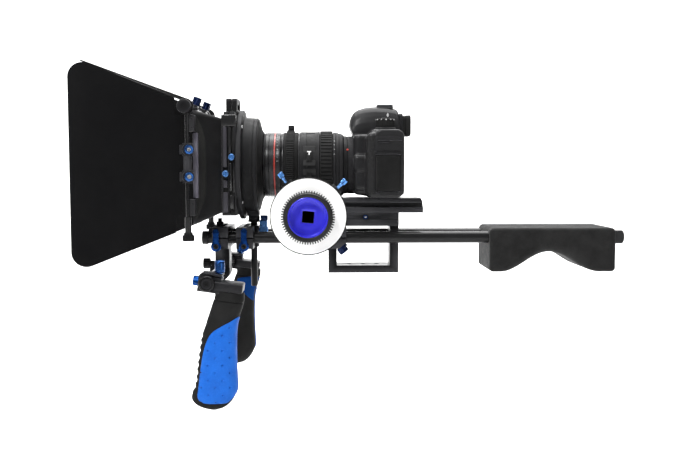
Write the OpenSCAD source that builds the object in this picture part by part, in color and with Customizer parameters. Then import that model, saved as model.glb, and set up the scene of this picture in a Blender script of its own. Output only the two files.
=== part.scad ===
// Cinema camera rig: two 15 mm rods carry a riser with a camera plate and a
// camera with its lens, a follow focus, a matte box with flags, a cross arm
// with two handles, and a shoulder pad.
// The lens looks along -X, the operator's shoulder is at +X, -Y is the
// operator's left, +Z is up. The origin is the centre of the tripod thread
// in the bottom face of the riser. Millimetres.

/* [Rods] */
// Diameter of each support rod
rod_d = 15; // [14.9:0.05:15]
// Distance between the two rod centres
rod_pitch = 60; // [59:0.5:61]
// Front end of the rods, forward of the tripod thread
rod_front = 196; // [195:1:200]
// Rear end of the rods, behind the tripod thread
rod_rear = 318; // [316:1:330]

/* [Riser] */
// Length of the riser frame
riser_len = 90; // [86:1:90]
// Thickness of the two upright riser walls
riser_wall = 11; // [8:0.5:12]
// Thickness of the riser floor
riser_floor = 9.5; // [7:0.5:11]

/* [Camera plate] */
// Width of the sliding camera plate
plate_w = 50; // [46:1:54]
// Rear end of the sliding camera plate
plate_rear = 76; // [70:1:84]

/* [Shoulder pad] */
// Width of the shoulder pad
pad_w = 90; // [86:1:100]
// Height of the arch over the shoulder
pad_arch = 24.8; // [15:0.2:26]
// Lowest point of the pad above the riser base face
pad_low = 3.2; // [0:0.2:6]

/* [Handles] */
// Length of the cross arm between the handle end caps
arm_len = 272; // [270:1:290]
// Width of each hand grip
grip_w = 34; // [30:1:36]
// Height of each hand grip
grip_h = 133; // [120:1:135]

/* [Matte box] */
// Width of the hood at the front
hood_w = 176; // [170:1:178]
// Wall thickness of the hood
hood_wall = 2.5; // [2:0.5:4]
// Length of each flag from its hinge
flag_len = 137; // [120:1:145]
// Radius of the free corners of the flags
flag_r = 17; // [12:1:30]
// Thickness of the flag sheets
flag_t = 1.5; // [1:0.1:2]
// Outward splay of the side flags in degrees
side_splay = 20; // [10:1:30]
// Upward lean of the top flag in degrees
top_rise = 20; // [10:1:25]

/* [Follow focus] */
// Radius of the white marking disc
disc_r = 44.5; // [40:0.5:46]
// Outer radius of the ribbed focus knob
knob_r = 30.5; // [28:0.5:32]
// Number of ribs on the focus knob
knob_ribs = 72; // [48:4:80]

/* [Camera] */
// Left end of the camera body, from the lens axis
body_left = 66; // [64:1:70]
// Right end of the camera body, from the lens axis
body_right = 86; // [84:1:90]

/* [Hidden] */
$fn = 64;
rp = rod_pitch / 2;
rr = rod_d / 2;
fit = 0.05;
rod_z = 46.5;
rod_bore = 5.8;
riser_top = 60.4;
rl = riser_len / 2;
lens_z = 138;
drive_z = 78;
wheel_x = -68;
gear_m = 0.8;
ring_teeth = 108;
drive_teeth = 42;
arm_x = -184.3;
arm_z = 2;
hand_y = arm_len / 2 - 13;
top_hx = -212.5;
top_hz = 206;
side_hx = -210;
side_hy = hood_w / 2 + 14;
flag_half = hood_w / 2 + 10;
side_len = flag_len - 4.5;
black = [0.07, 0.07, 0.08];
dark = [0.14, 0.14, 0.15];
grey = [0.45, 0.46, 0.48];
steel = [0.75, 0.75, 0.77];
blue = [0.18, 0.42, 0.68];
white = [0.93, 0.93, 0.92];

// One sub-part by name, or all of them

// Box given by its six limits
module bx(x0, x1, y0, y1, z0, z1) {
  translate([x0, y0, z0])
    cube([x1 - x0, y1 - y0, z1 - z0]);
}

// Round bar along X
module cx(x0, x1, r, y, z) {
  translate([x0, y, z])
    rotate([0, 90, 0])
      cylinder(h = x1 - x0, r = r);
}

// Round bar along Y
module cy(y0, y1, r, x, z) {
  translate([x, y0, z])
    rotate([-90, 0, 0])
      cylinder(h = y1 - y0, r = r);
}

// Round bar along Z
module cz(z0, z1, r, x, y) {
  translate([x, y, z0])
    cylinder(h = z1 - z0, r = r);
}

// Cone along X with radius ra at x0 and rb at x1
module kx(x0, x1, ra, rb, y, z) {
  translate([x0, y, z])
    rotate([0, 90, 0])
      cylinder(h = x1 - x0, r1 = ra, r2 = rb);
}

// Plate drawn in the X-Z plane and given a thickness along Y
module xz_plate(y0, y1) {
  translate([0, y1, 0])
    rotate([90, 0, 0])
      linear_extrude(height = y1 - y0)
        children();
}

// Box with the four edges along Y rounded
module round_y(x0, x1, y0, y1, z0, z1, r) {
  bx(x0 + r, x1 - r, y0, y1, z0, z1);
  bx(x0, x1, y0, y1, z0 + r, z1 - r);
  for (x = [x0 + r, x1 - r])
    for (z = [z0 + r, z1 - r])
      cy(y0, y1, r, x, z);
}

// Box with the four edges along Z rounded
module round_z(x0, x1, y0, y1, z0, z1, r) {
  bx(x0 + r, x1 - r, y0, y1, z0, z1);
  bx(x0, x1, y0 + r, y1 - r, z0, z1);
  for (x = [x0 + r, x1 - r])
    for (y = [y0 + r, y1 - r])
      cz(z0, z1, r, x, y);
}

// Solid that narrows from its front face to its rear face
module taper(x0, x1, ya, yb, za0, za1, zb0, zb1) {
  intersection() {
    translate([0, 0, -200])
      linear_extrude(height = 600)
        polygon([[x0, -ya], [x1, -yb], [x1, yb], [x0, ya]]);
    xz_plate(-200, 200)
      polygon([[x0, za0], [x1, zb0], [x1, zb1], [x0, za1]]);
  }
}

// Points on an arc
function arc(px, py, r, a0, a1, n) =
  [for (i = [0 : n]) [px + r * cos(a0 + (a1 - a0) * i / n),
                      py + r * sin(a0 + (a1 - a0) * i / n)]];

// Outline of a spur gear with straight-sided teeth
function spur(teeth, m) =
  [for (k = [0 : teeth - 1])
    for (c = [[-0.92, -1.0], [-0.28, 0.8], [0.28, 0.8], [0.92, -1.0]])
      let (rad = teeth * m / 2 + (c[1] < 0 ? -1.25 * m : m),
           ang = 360 * k / teeth + c[0] * m / 0.8 / rad * 57.2958)
      [rad * cos(ang), rad * sin(ang)]];

// Bevel gear with its tip at the origin and its axis along Z
module bevel() {
  difference() {
    union() {
      translate([0, 0, 7.6])
        cylinder(h = 2.4, r1 = 7.6 * 1.07, r2 = 10.7);
      translate([0, 0, 10])
        cylinder(h = 3, r = 7);
    }
    for (i = [0 : 15])
      rotate([0, 0, i * 22.5 + 11.25])
        rotate([0, 41.2, 0])
          translate([0, 0, 8])
            linear_extrude(height = 9)
              polygon([[0, -0.65], [2.5, -1.75], [2.5, 1.75], [0, 0.65]]);
  }
}

module rod(y) {
  difference() {
    cx(-rod_front, rod_rear, rr, y, rod_z);
    cx(-rod_front - 1, rod_rear + 1, rod_bore, y, rod_z);
  }
}

// Operator's left 15 mm rod, a tube
module left_rod() {
  color(black)
    rod(-rp);
}

// Operator's right 15 mm rod, a tube
module right_rod() {
  color(black)
    rod(rp);
}

// Screw-in end caps: two low ones at the front, two longer at the rear
module rod_end_caps() {
  color(dark)
    for (y = [-rp, rp]) {
      cx(-rod_front - 8, -rod_front, 8.65, y, rod_z);
      cx(-rod_front, -rod_front + 10, rod_bore - fit, y, rod_z);
      difference() {
        cx(rod_rear, rod_rear + 13, 8.5, y, rod_z);
        cx(rod_rear + 11, rod_rear + 14, 4, y, rod_z);
      }
      cx(rod_rear - 10, rod_rear, rod_bore - fit, y, rod_z);
    }
}

// Open riser: floor and two upright walls, tripod threads in the floor
module riser_frame() {
  color(black)
    difference() {
      union() {
        bx(-rl, rl, -20, 20, 0, riser_floor);
        bx(-rl, riser_wall - rl, -20, 20, riser_floor, riser_top);
        bx(rl - riser_wall, rl, -20, 20, riser_floor, riser_top);
      }
      for (x = [-18, 0, 18])
        cz(-1, riser_floor + 1, 3.175, x, 0);
    }
}

// Two split blocks that hold the riser on the rods
module riser_rod_clamps() {
  color(black)
    for (s = [-1, 1])
      difference() {
        union() {
          bx(-44.9, -22.4, min(s * 20, s * 42), max(s * 20, s * 42), 33,
             riser_top);
        }
        cx(-50, -10, rr + fit, s * rp, rod_z);
        bx(-50, -10, min(s * 36, s * 43), max(s * 36, s * 43), 45.7, 47.3);
        translate([-31.9, 0, 33])
          rotate([0, -37.9, 0])
            bx(-2, 20, -60, 60, -12, 0);
        translate([-29.6, s * rp, 34.8])
          rotate([0, 142, 0])
            translate([0, 0, -8])
              cylinder(h = 8, r = 3 + fit);
      }
}

// Thumb screws that press on the rods from below
module riser_thumb_screws() {
  color(blue)
    for (s = [-1, 1])
      translate([-29.6, s * rp, 34.8])
        rotate([0, 142, 0])
          difference() {
            union() {
              translate([0, 0, -2])
                cylinder(h = 2.2, r = 3);
              translate([0, 0, 0.2])
                cylinder(h = 9, r = 6.4);
            }
            for (a = [0 : 30 : 330])
              rotate([0, 0, a])
                translate([7.2, 0, 1.5])
                  cylinder(h = 12, r = 1.3);
          }
}

// Block on top of the riser with the rail for the sliding plate
module plate_base() {
  color(dark)
    difference() {
      union() {
        bx(-45, 45, -25, 25, riser_top, 77.2);
        bx(-45, 45, -12, 12, 77.2, 80.2);
        bx(-45, 45, -16, 16, 80.2, 83.2);
      }
      cy(-26, -10, 2.4 + fit, 2.3, 72);
      for (s = [-1, 1])
        bx(-46, 46, min(s * 24, s * 26), max(s * 24, s * 26), 68.6, 69.8);
    }
}

// Small screw that locks the sliding plate
module plate_lock_screw() {
  color(blue)
    difference() {
      union() {
        cy(-24.7, -12, 2.4, 2.3, 72);
        cy(-29.5, -25.2, 3.8, 2.3, 72);
        cy(-25.2, -24.7, 2.4, 2.3, 72);
      }
      bx(-2, 7, -31, -28.3, 71.5, 72.5);
    }
}

// Rod clamp with the hanging web that holds the cross arm
module handle_bracket() {
  color(grey)
    difference() {
      union() {
        bx(-190, -170, -44, 44, 33, 60);
        bx(-190, -172, -14, 14, 2, 33);
        cz(60, 65, 4.8, -185, 0);
        cz(65, 69.5, 2.7, -185, 0);
        cy(-14, 14, 13, arm_x, arm_z);
      }
      for (s = [-1, 1]) {
        cx(-200, -160, rr + fit, s * rp, rod_z);
        bx(-200, -160, min(s * 36, s * 45), max(s * 36, s * 45), 45.7, 47.3);
      }
      cy(-20, 20, 7.5 + fit, arm_x, arm_z);
      cx(-200, -186, 3.5 + fit, 0, 10.75);
      cy(-45, -39, 2.2 + fit, -184.7, 36.4);
    }
}

// Clamp lever: ring on a pivot screw with a flat arm pointing up
module lever_y(x, z, top, y) {
  cy(y, y + 4.2, 6.3, x, z);
  bx(x - 4, x + 4, y, y + 4.2, z, top - 4);
  cy(y, y + 4.2, 4, x, top - 4);
  cy(y - 1.2, y, 3.4, x, z);
  cy(y + 4.2, y + 9.4, 2.2, x, z);
}

// Lever of the handle bracket clamp
module bracket_lever() {
  color(blue)
    lever_y(-184.7, 36.4, 58.6, -48.5);
}

// Cross arm that carries both handles, with its end caps
module cross_arm() {
  color(black)
    difference() {
      union() {
        cy(-arm_len / 2, arm_len / 2, 7.5, arm_x, arm_z);
        for (s = [-1, 1])
          cy(s > 0 ? arm_len / 2 : -arm_len / 2 - 6,
             s > 0 ? arm_len / 2 + 6 : -arm_len / 2, 9.3, arm_x, arm_z);
      }
      cy(-arm_len / 2 - 8, arm_len / 2 + 8, 4.5, arm_x, arm_z);
    }
}

// Knob at the front of the bracket that locks the cross arm
module arm_lock_knob() {
  color(dark)
    difference() {
      union() {
        cx(-207, -197.8, 6.75, 0, 10.75);
        cx(-197.8, -192.5, 3.5, 0, 10.75);
      }
      for (a = [0 : 30 : 330])
        translate([-208, 6.9 * sin(a), 10.75 + 6.9 * cos(a)])
          rotate([0, 90, 0])
            cylinder(h = 8, r = 0.9);
    }
}

// Clamp round the cross arm with the plate that carries the grip
module handle_mount(s) {
  translate([0, s * hand_y, 0])
    difference() {
      union() {
        translate([arm_x, 0, arm_z])
          rotate([0, 8, 0])
            bx(-10.5, 16, -12.5, 12.5, -10.5, 11.5);
        translate([-176, 0, 4.5])
          rotate([0, 8, 0])
            bx(0, 33.5, -15, 15, -10.5, 0);
        translate([-176, 0, 4.5])
          rotate([0, 8, 0])
            bx(1, 32.5, -14, 14, -20.5, -10.5);
      }
      cy(-20, 20, 7.5 + fit, arm_x, arm_z);
      cy(-20, -12.8, 9.7, arm_x, arm_z);
      cy(12.8, 20, 9.7, arm_x, arm_z);
      bx(-220, -120, -20, 20, -60, -16);
      translate([arm_x, 0, arm_z])
        rotate([0, 8, 0]) {
          bx(-20, -6, -20, 20, -0.8, 0.8);
          bx(0.5, 20, -20, 20, 8, 9.2);
        }
      cz(-6, 30, 2.8 + fit, -170.8, 0);
      translate([-195.5, 0, 3.3])
        rotate([0, 98, 0])
          cylinder(h = 3.5, r = 2.8 + fit);
    }
}

// Front outline of the grip at a depth below its top
function grip_front(t) =
  -178 - 24 * pow(t, 0.75) + 1.1 * cos(360 * 7 * t);

// Rear outline of the grip at a depth below its top
function grip_rear(t) =
  -152 + 7.5 * pow(max(0, 1 - t / 0.28), 1.6);

// Side outline of one hand grip
module grip_outline(inset) {
  top = -15.5;
  low = top - grip_h + 16;
  n = 42;
  polygon(concat(
    [for (i = [0 : n])
      [grip_front(i / n) + inset, top + (low - top) * i / n]],
    arc(-192 + inset / 2, low - 3, 10.5 - inset / 2, 190, 262, 6),
    arc(-166, low + 2, 17 - inset, 278, 352, 8),
    [for (i = [n : -1 : 0])
      [grip_rear(i / n) - inset, top + (low - top) * i / n]]));
}

// Grip body seen from one side
module grip(s) {
  translate([0, s * hand_y, 0])
    difference() {
      xz_plate(-grip_w / 2, grip_w / 2)
        intersection() {
          grip_outline(0);
          translate([-230, -200])
            square([200, 184]);
        }
      grip_rubber_sheet(s);
    }
}

// Outline of the rubber panel in the side of the grip
module grip_panel(inset) {
  intersection() {
    grip_outline(5.5 + inset);
    translate([-112, -97])
      circle(r = 90 - inset);
    translate([-230, inset - 138.5])
      square([200, 106 - 2 * inset]);
  }
}

// Sheet of rubber let into the outer side of the grip
module grip_rubber_sheet(s) {
  xz_plate(s > 0 ? grip_w / 2 - 2.5 : -grip_w / 2 - 1,
           s > 0 ? grip_w / 2 + 1 : 2.5 - grip_w / 2)
    grip_panel(0);
}

// Textured rubber panel on the outer side of the grip
module grip_rubber(s) {
  translate([0, s * hand_y, 0])
    grip_rubber_sheet(s);
}

// Screw in the front of the handle clamp that closes it on the arm
module handle_screw(s) {
  translate([-195.5, s * hand_y, 3.3])
    rotate([0, 98, 0]) {
      translate([0, 0, 0.6])
        cylinder(h = 2.2, r = 2.8);
      translate([0, 0, -6.4])
        cylinder(h = 7, r = 6);
    }
}

// Upright knob that pins the grip plate to the clamp
module handle_knob(s) {
  translate([0, s * hand_y, 0])
    difference() {
      union() {
        cz(-3, 12.8, 2.8, -170.8, 0);
        cz(12.8, 27.2, 6, -170.8, 0);
      }
      for (a = [0 : 36 : 324])
        cz(14, 28, 0.9, -170.8 + 6.2 * cos(a), 6.2 * sin(a));
    }
}

// Left handle clamp
module left_handle_mount() {
  color(dark)
    handle_mount(-1);
}

// Left hand grip
module left_grip() {
  color(black)
    grip(-1);
}

// Left grip rubber panels
module left_grip_rubber() {
  color(blue)
    grip_rubber(-1);
}

// Left handle front screw
module left_handle_screw() {
  color(blue)
    handle_screw(-1);
}

// Left handle upright knob
module left_handle_knob() {
  color(blue)
    handle_knob(-1);
}

// Right handle clamp
module right_handle_mount() {
  color(dark)
    handle_mount(1);
}

// Right hand grip
module right_grip() {
  color(black)
    grip(1);
}

// Right grip rubber panels
module right_grip_rubber() {
  color(blue)
    grip_rubber(1);
}

// Right handle front screw
module right_handle_screw() {
  color(blue)
    handle_screw(1);
}

// Right handle upright knob
module right_handle_knob() {
  color(blue)
    handle_knob(1);
}

// Metal block in the shoulder pad that rides on the rods
module pad_core() {
  color(dark)
    difference() {
      bx(184, 292, -rp - 11, rp + 11, 37.2, 57);
      for (s = [-1, 1])
        cx(180, 300, rr + fit, s * rp, rod_z);
      bx(200, 276, -14, 14, 40, 60);
    }
}

// Side outline of the shoulder pad
module pad_outline() {
  n = 30;
  polygon(concat(
    arc(164.4, 52.8, 6, 180, 90, 6),
    arc(312.5, 52.8, 6, 90, 0, 6),
    arc(314.5, pad_low + 4, 4, 0, -90, 5),
    [for (i = [0 : n])
      let (x = 298 - 125 * i / n)
      [x, pad_low + pad_arch * (0.5 - 0.5 * cos(360 * i / n))]],
    arc(162.4, pad_low + 4, 4, 270, 180, 5)));
}

// Foam block with the arch that sits on the shoulder
module pad_foam() {
  color(black)
    difference() {
      xz_plate(-pad_w / 2, pad_w / 2)
        pad_outline();
      bx(184, 292, -rp - 11, rp + 11, 37.2, 57);
      for (s = [-1, 1])
        cx(150, 330, rr + 0.3, s * rp, rod_z);
      for (s = [-1, 1])
        cx(rod_rear - 0.3, rod_rear + 20, 8.9, s * rp, rod_z);
    }
}

// Rod clamp under the matte box with the boss for its upright post
module matte_clamp() {
  color(dark)
    difference() {
      union() {
        bx(-160, -139, -44, 44, 33, 60);
        bx(-139, -134.5, -10, 10, 33, 60);
      }
      for (s = [-1, 1]) {
        cx(-170, -138, rr + fit, s * rp, rod_z);
        bx(-170, -138, min(s * 36, s * 45), max(s * 36, s * 45), 45.7, 47.3);
      }
      cz(20, 70, 4.25 + fit, -141, 0);
      cx(-137, -130, 2.2 + fit, 0, 55);
      cy(-45, -39, 2.2 + fit, -150, 36.4);
    }
}

// Lever of the matte box rod clamp
module matte_lever() {
  color(blue)
    lever_y(-150, 36.4, 59, -48.5);
}

// Upright post under the matte box, with its nut
module matte_post() {
  color(steel) {
    cz(-19, 72.5, 4.25, -141, 0);
    difference() {
      translate([-141, 0, 64])
        linear_extrude(height = 8.5)
          polygon([for (a = [30 : 60 : 330]) [7.4 * cos(a), 7.4 * sin(a)]]);
      cz(60, 80, 4.2, -141, 0);
    }
  }
}

// Lever that locks the upright post
module post_lock_lever() {
  color(blue) {
    cx(-133.8, -126, 5, 0, 55);
    bx(-133.8, -128, -4.8, 4.8, 55, 68.6);
    cx(-133.8, -128, 4.8, 0, 68.6);
    cx(-136.4, -133.8, 2.2, 0, 55);
  }
}

// Rubber ring that seals the matte box against the lens
module lens_donut() {
  color(black)
    difference() {
      kx(-133.5, -127, 58, 42, 0, lens_z);
      kx(-134, -126.5, 51, 38, 0, lens_z);
    }
}

// Round rear housing of the matte box with its flange and foot
module matte_housing() {
  color(black)
    difference() {
      union() {
        cx(-151.5, -133.5, 60, 0, lens_z);
        cx(-157.4, -151.5, 69.5, 0, lens_z);
        bx(-149.5, -134, -10, 10, 72.5, 84);
      }
      cx(-158, -133, 50, 0, lens_z);
      for (a = [45 : 90 : 315])
        cx(-153, -150, 2, 64.5 * cos(a), lens_z + 64.5 * sin(a));
    }
}

// Double filter stage, open at the top
module filter_stages() {
  color(black)
    difference() {
      bx(-175, -157.4, -60, 60, 75.7, 198.7);
      bx(-173.4, -167, -53, 53, 84, 200);
      bx(-165.8, -159.4, -53, 53, 84, 200);
      bx(-176, -157, -45, 45, 93, 183);
      cy(-61, -52, 1.6 + fit, -170.2, 127);
      cy(-61, -52, 1.6 + fit, -162.6, 147.3);
    }
}

// Screws in the side of the filter stages that hold the trays
module tray_lock_screws() {
  color(blue)
    for (i = [0, 1]) {
      cy(-66, -60, 4, -170.2 + 7.6 * i, 127 + 20.3 * i);
      cy(-60, -53.4, 1.6, -170.2 + 7.6 * i, 127 + 20.3 * i);
    }
}

// One filter tray with its pull tab
module tray(x) {
  difference() {
    union() {
      bx(x - 3, x + 3, -52.7, 52.7, 84.1, 203);
      bx(x - 3, x + 3, -24, 24, 203, 217.6);
      bx(x - 3, x + 3, -20, 20, 217.6, 221.6);
      cx(x - 3, x + 3, 4, -20, 217.6);
      cx(x - 3, x + 3, 4, 20, 217.6);
    }
    bx(x - 4, x + 4, -46, 46, 92, 184);
    bx(x - 4, x + 4, -13, 13, 208, 215);
  }
}

// Front filter tray
module front_tray() {
  color(dark)
    tray(-170.2);
}

// Rear filter tray
module rear_tray() {
  color(dark)
    tray(-162.6);
}

// Hood: a funnel of sheet with a rim at the front
module hood() {
  w = hood_wall;
  hw = hood_w / 2;
  color(black)
    difference() {
      union() {
        taper(-206, -175, hw, 60, 66, 203.5, 79.5, 194.8);
        bx(-206, -201, -hw, hw, 66, 203.5);
      }
      taper(-206.1, -177, hw - w, 60 - w, 66 + w, 203.5 - w, 79.5 + w,
            194.8 - w);
      bx(-180, -170, -45, 45, 93, 183);
    }
}

// Lugs on the hood that hold the three hinge rods
module hinge_brackets() {
  hw = hood_w / 2;
  color(dark) {
    for (s = [-1, 1])
      for (z = [77.6, 176.5])
        difference() {
          union() {
            bx(-211, -202, min(s * hw, s * (hw + 18)),
               max(s * hw, s * (hw + 18)), z, z + 20);
            cz(z, z + 20, 6.2, side_hx, s * side_hy);
          }
          cz(z - 1, z + 21, 3.8 + fit, side_hx, s * side_hy);
          for (k = [5, 15])
            cy(s > 0 ? side_hy + 1 : -side_hy - 6,
               s > 0 ? side_hy + 6 : -side_hy - 1, 1.3, -203.8, z + k);
        }
    for (s = [-1, 1])
      difference() {
        union() {
          bx(top_hx, -201, s * 76 - 6, s * 76 + 6, 203.5, 209);
          cy(s * 76 - 6, s * 76 + 6, 6.2, top_hx, top_hz);
        }
        cy(s * 76 - 7, s * 76 + 7, 3.8 + fit, top_hx, top_hz);
      }
  }
}

// Two upright hinge rods and the cross rod, with their end knobs
module flag_hinge_rods() {
  color(dark) {
    for (s = [-1, 1]) {
      cz(56, 196.5, 3.8, side_hx, s * side_hy);
      cz(48, 56, 7.25, side_hx, s * side_hy);
      cy(s > 0 ? hood_w / 2 + 10 : -hood_w / 2 - 22,
         s > 0 ? hood_w / 2 + 22 : -hood_w / 2 - 10, 8.3, top_hx, top_hz);
    }
    cy(-hood_w / 2 - 10, hood_w / 2 + 10, 3.8, top_hx, top_hz);
  }
}

// Top flag on its two knuckles, with the thumb screws
module top_flag() {
  u1 = flag_len;
  translate([top_hx, 0, top_hz])
    rotate([0, top_rise, 0]) {
      color(black)
        translate([0, 0, 8.2])
          linear_extrude(height = flag_t)
            polygon(concat([[-4, -flag_half]],
              [[-4, flag_half]],
              arc(flag_r - u1, flag_half - flag_r, flag_r, 90, 180, 10),
              arc(flag_r - u1, flag_r - flag_half, flag_r, 180, 270, 10)));
      for (s = [-1, 1])
        translate([0, s * 43.6, 0]) {
          color(dark)
            difference() {
              union() {
                cy(-10, 10, 6.2, 0, 0);
                bx(-6.2, 6.2, -10, 10, 0, 6.2);
                bx(-13, -4, -10, 10, 3, 8.2);
              }
              cy(-11, 11, 3.8 + fit, 0, 0);
            }
          color(blue)
            cz(6.2, 16.4, 5.25, 2, 0);
        }
    }
}

// Half height of a side flag at a distance from its hinge
function side_half(u) = 73.5 + 0.37 * u;

// Side flag on its knuckle, with the two screws
module side_flag(s) {
  u1 = side_len;
  c = side_half(u1 - flag_r) - 1.066 * flag_r;
  translate([side_hx, s * side_hy, lens_z - 1])
    rotate([0, 0, -s * side_splay]) {
      color(black)
        translate([0, flag_t / 2, 0])
          rotate([90, 0, 0])
            linear_extrude(height = flag_t)
              polygon(concat([[-5.6, -38.5], [-6.8, -38.5],
                [-6.8, -58], [-14.2, -58], [-14.2, -side_half(14.2)]],
                arc(flag_r - u1, -c, flag_r, 290.3, 180, 10),
                arc(flag_r - u1, c, flag_r, 180, 69.7, 10),
                [[-14.2, side_half(14.2)], [-14.2, 58], [-6.8, 58],
                  [-6.8, 38.5], [-5.6, 38.5]]));
      color(dark)
        difference() {
          cz(-38.9, 38.9, 6.2, 0, 0);
          cz(-40, 40, 3.8 + fit, 0, 0);
        }
      for (z = [-13.1, 18.6])
        color(blue)
          cy(s > 0 ? 5.6 : -11, s > 0 ? 11 : -5.6, 5.5, 0, z);
    }
}

// Left side flag
module left_flag() {
  side_flag(-1);
}

// Right side flag
module right_flag() {
  side_flag(1);
}

// Follow focus body: rod clamp, gearbox, bearing tube and drum
module focus_body() {
  color(black)
    difference() {
      union() {
        bx(-88, -52, -42, 42, 36, 57);
        bx(-82, -58, -20, 16, 57, 64);
        bx(-90, -54, -22, 16, 64, 92);
        cy(-98, -22, 13, wheel_x, drive_z);
        cy(-114, -98, 40, wheel_x, drive_z);
        for (a = [44, 124])
          translate([wheel_x, -106, drive_z])
            rotate([0, 90 - a, 0])
              cylinder(h = 47, r = 7);
      }
      for (s = [-1, 1]) {
        cx(-95, -45, rr + fit, s * rp, rod_z);
        bx(-95, -45, min(s * 36, s * 43), max(s * 36, s * 43), 45.7, 47.3);
      }
      bx(-81.7, -56.4, -13.4, 13.4, 66, 90);
      cy(-115, -13, 8, wheel_x, drive_z);
      cx(-91, -81, 8, 0, drive_z);
      for (a = [44, 124])
        translate([wheel_x, -106, drive_z])
          rotate([0, 90 - a, 0])
            translate([0, 0, 39])
              cylinder(h = 12, r = 1.6 + fit);
    }
}

// Two radial screws that set the ends of the focus travel
module hard_stop_screws() {
  color(blue)
    for (a = [44, 124])
      translate([wheel_x, -106, drive_z])
        rotate([0, 90 - a, 0])
          difference() {
            union() {
              translate([0, 0, 40])
                cylinder(h = 14, r = 1.6);
              translate([0, 0, 54])
                cylinder(h = 8, r = 4.3);
            }
            for (k = [0 : 30 : 330])
              rotate([0, 0, k])
                translate([4.8, 0, 55])
                  cylinder(h = 9, r = 0.8);
          }
}

// Three bearing rings for the wheel shaft and the gear shaft
module focus_bearings() {
  color(steel) {
    for (y = [-110, -21])
      difference() {
        cy(y, y + 6, 8, wheel_x, drive_z);
        cy(y - 1, y + 7, 5 + fit, wheel_x, drive_z);
      }
    difference() {
      cx(-89, -83, 8, 0, drive_z);
      cx(-90, -82, 5 + fit, 0, drive_z);
    }
  }
}

// Shaft from the focus wheel to the gearbox, with its bevel gear
module wheel_shaft() {
  color(steel) {
    cy(-126, -10, 5, wheel_x, drive_z);
    translate([wheel_x, 0, drive_z])
      rotate([90, 0, 0])
        bevel();
  }
}

// Hub of the wheel: a dished cup with a square socket
module wheel_hub() {
  color(blue)
    difference() {
      union() {
        cy(-150, -121, 23, wheel_x, drive_z);
        cy(-121, -115.5, 9, wheel_x, drive_z);
      }
      translate([wheel_x, -137, drive_z])
        rotate([90, 0, 0])
          cylinder(h = 14, r1 = 18.5, r2 = 21.8);
      translate([wheel_x, -137, drive_z])
        rotate([0, 5, 0])
          bx(-6.8, 6.8, -1, 9.5, -6.8, 6.8);
      cy(-126.2, -115, 5 + fit, wheel_x, drive_z);
    }
}

// Ribbed outer ring of the focus wheel
module wheel_knob() {
  n = knob_ribs;
  color(black)
    difference() {
      translate([wheel_x, -121, drive_z])
        rotate([90, 0, 0])
          linear_extrude(height = 28.5)
            polygon([for (i = [0 : 2 * n - 1])
              let (r = i % 2 == 0 ? knob_r : knob_r - 0.9)
              [r * cos(180 * i / n), r * sin(180 * i / n)]]);
      cy(-155, -115, 23, wheel_x, drive_z);
    }
}

// White disc behind the wheel for focus marks
module marking_disc() {
  color(white)
    difference() {
      cy(-121, -117.5, disc_r, wheel_x, drive_z);
      cy(-122, -117, 9, wheel_x, drive_z);
    }
}

// Gear that meets the lens gear, with its shaft and bevel gear
module drive_gear() {
  color(grey) {
    translate([-100.5, 0, drive_z])
      rotate([0, 90, 0])
        linear_extrude(height = 9.5)
          rotate(180 / drive_teeth)
            polygon(spur(drive_teeth, gear_m));
    cx(-102.5, -100.5, 9, 0, drive_z);
    cx(-91, -78, 5, 0, drive_z);
    translate([wheel_x, 0, drive_z])
      rotate([0, -90, 0])
        rotate([0, 0, 11.25])
          bevel();
  }
}

// Sliding plate under the camera with its guide slot
module camera_plate() {
  h = plate_w / 2;
  color(dark)
    difference() {
      bx(-46, plate_rear, -h, h, 77.3, 96);
      bx(-50, plate_rear + 5, -12.1, 12.1, 77, 80.3);
      bx(-50, plate_rear + 5, -16.1, 16.1, 80.1, 83.3);
      for (s = [-1, 1])
        bx(-50, plate_rear + 5, min(s * (h - 3), s * (h + 1)),
           max(s * (h - 3), s * (h + 1)), 84.5, 90.5);
      cz(83, 100, 3.2, 26, 0);
      cx(-47, -36, 44.4, 0, lens_z);
    }
}

// Camera body: shell, mount drum, viewfinder hump and hand grip
module camera_body() {
  yl = -body_left;
  yr = body_right;
  color(black)
    difference() {
      union() {
        round_z(2, 46, yl, yr, 97.2, 178, 9);
        round_z(-13.6, 14, -44, 44, 101, 176, 8);
        bx(8, 42, yl + 6, yl + 39, 178, 182);
        round_z(-20, 14, yr - 36, yr, 98, 172, 10);
        round_y(-3.5, 40, 44, yr - 4, 160, 180, 6);
        cx(-10, 10, 38.5, 0, lens_z);
        xz_plate(-27, 27)
          polygon([[-9.8, 170], [-10, 176.2], [-14.7, 181], [-18.2, 188], [-16.8, 197],
            [-12.8, 205], [-7, 209.3], [1, 211.4], [18, 212], [43, 209.5],
            [46, 200], [46, 170]]);
        bx(16, 38, -16, 16, 208, 215);
        round_z(-13.6, 6, -51, -34, 128, 150, 4);
        round_z(10, 46, -25, 25, 96, 100, 4);
        cz(182, 184, 12.4, 26, yl + 21);
      }
      cx(-14, 30, 24.3, 0, lens_z);
      cx(-20, -10, 37.6, 0, lens_z);
      bx(6, 34, -22, 22, 120, 156);
      bx(15, 41, -9.4, 9.4, 211.2, 213.2);
      bx(15, 41, -6.5, 6.5, 212, 216);
      bx(12.2, 43.5, yl - 1, yl + 1.5, 105.7, 150.3);
      bx(16, 40, yl, yl + 12, 110, 146);
      cz(172, 190, 2 + fit, 26, yl + 21);
      cz(156, 190, 3 + fit, -10, yr - 18);
      bx(-12, 8, yr - 28, yr - 8, 104, 150);
      cz(95, 108, 3.2, 26, 0);
    }
}

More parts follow.
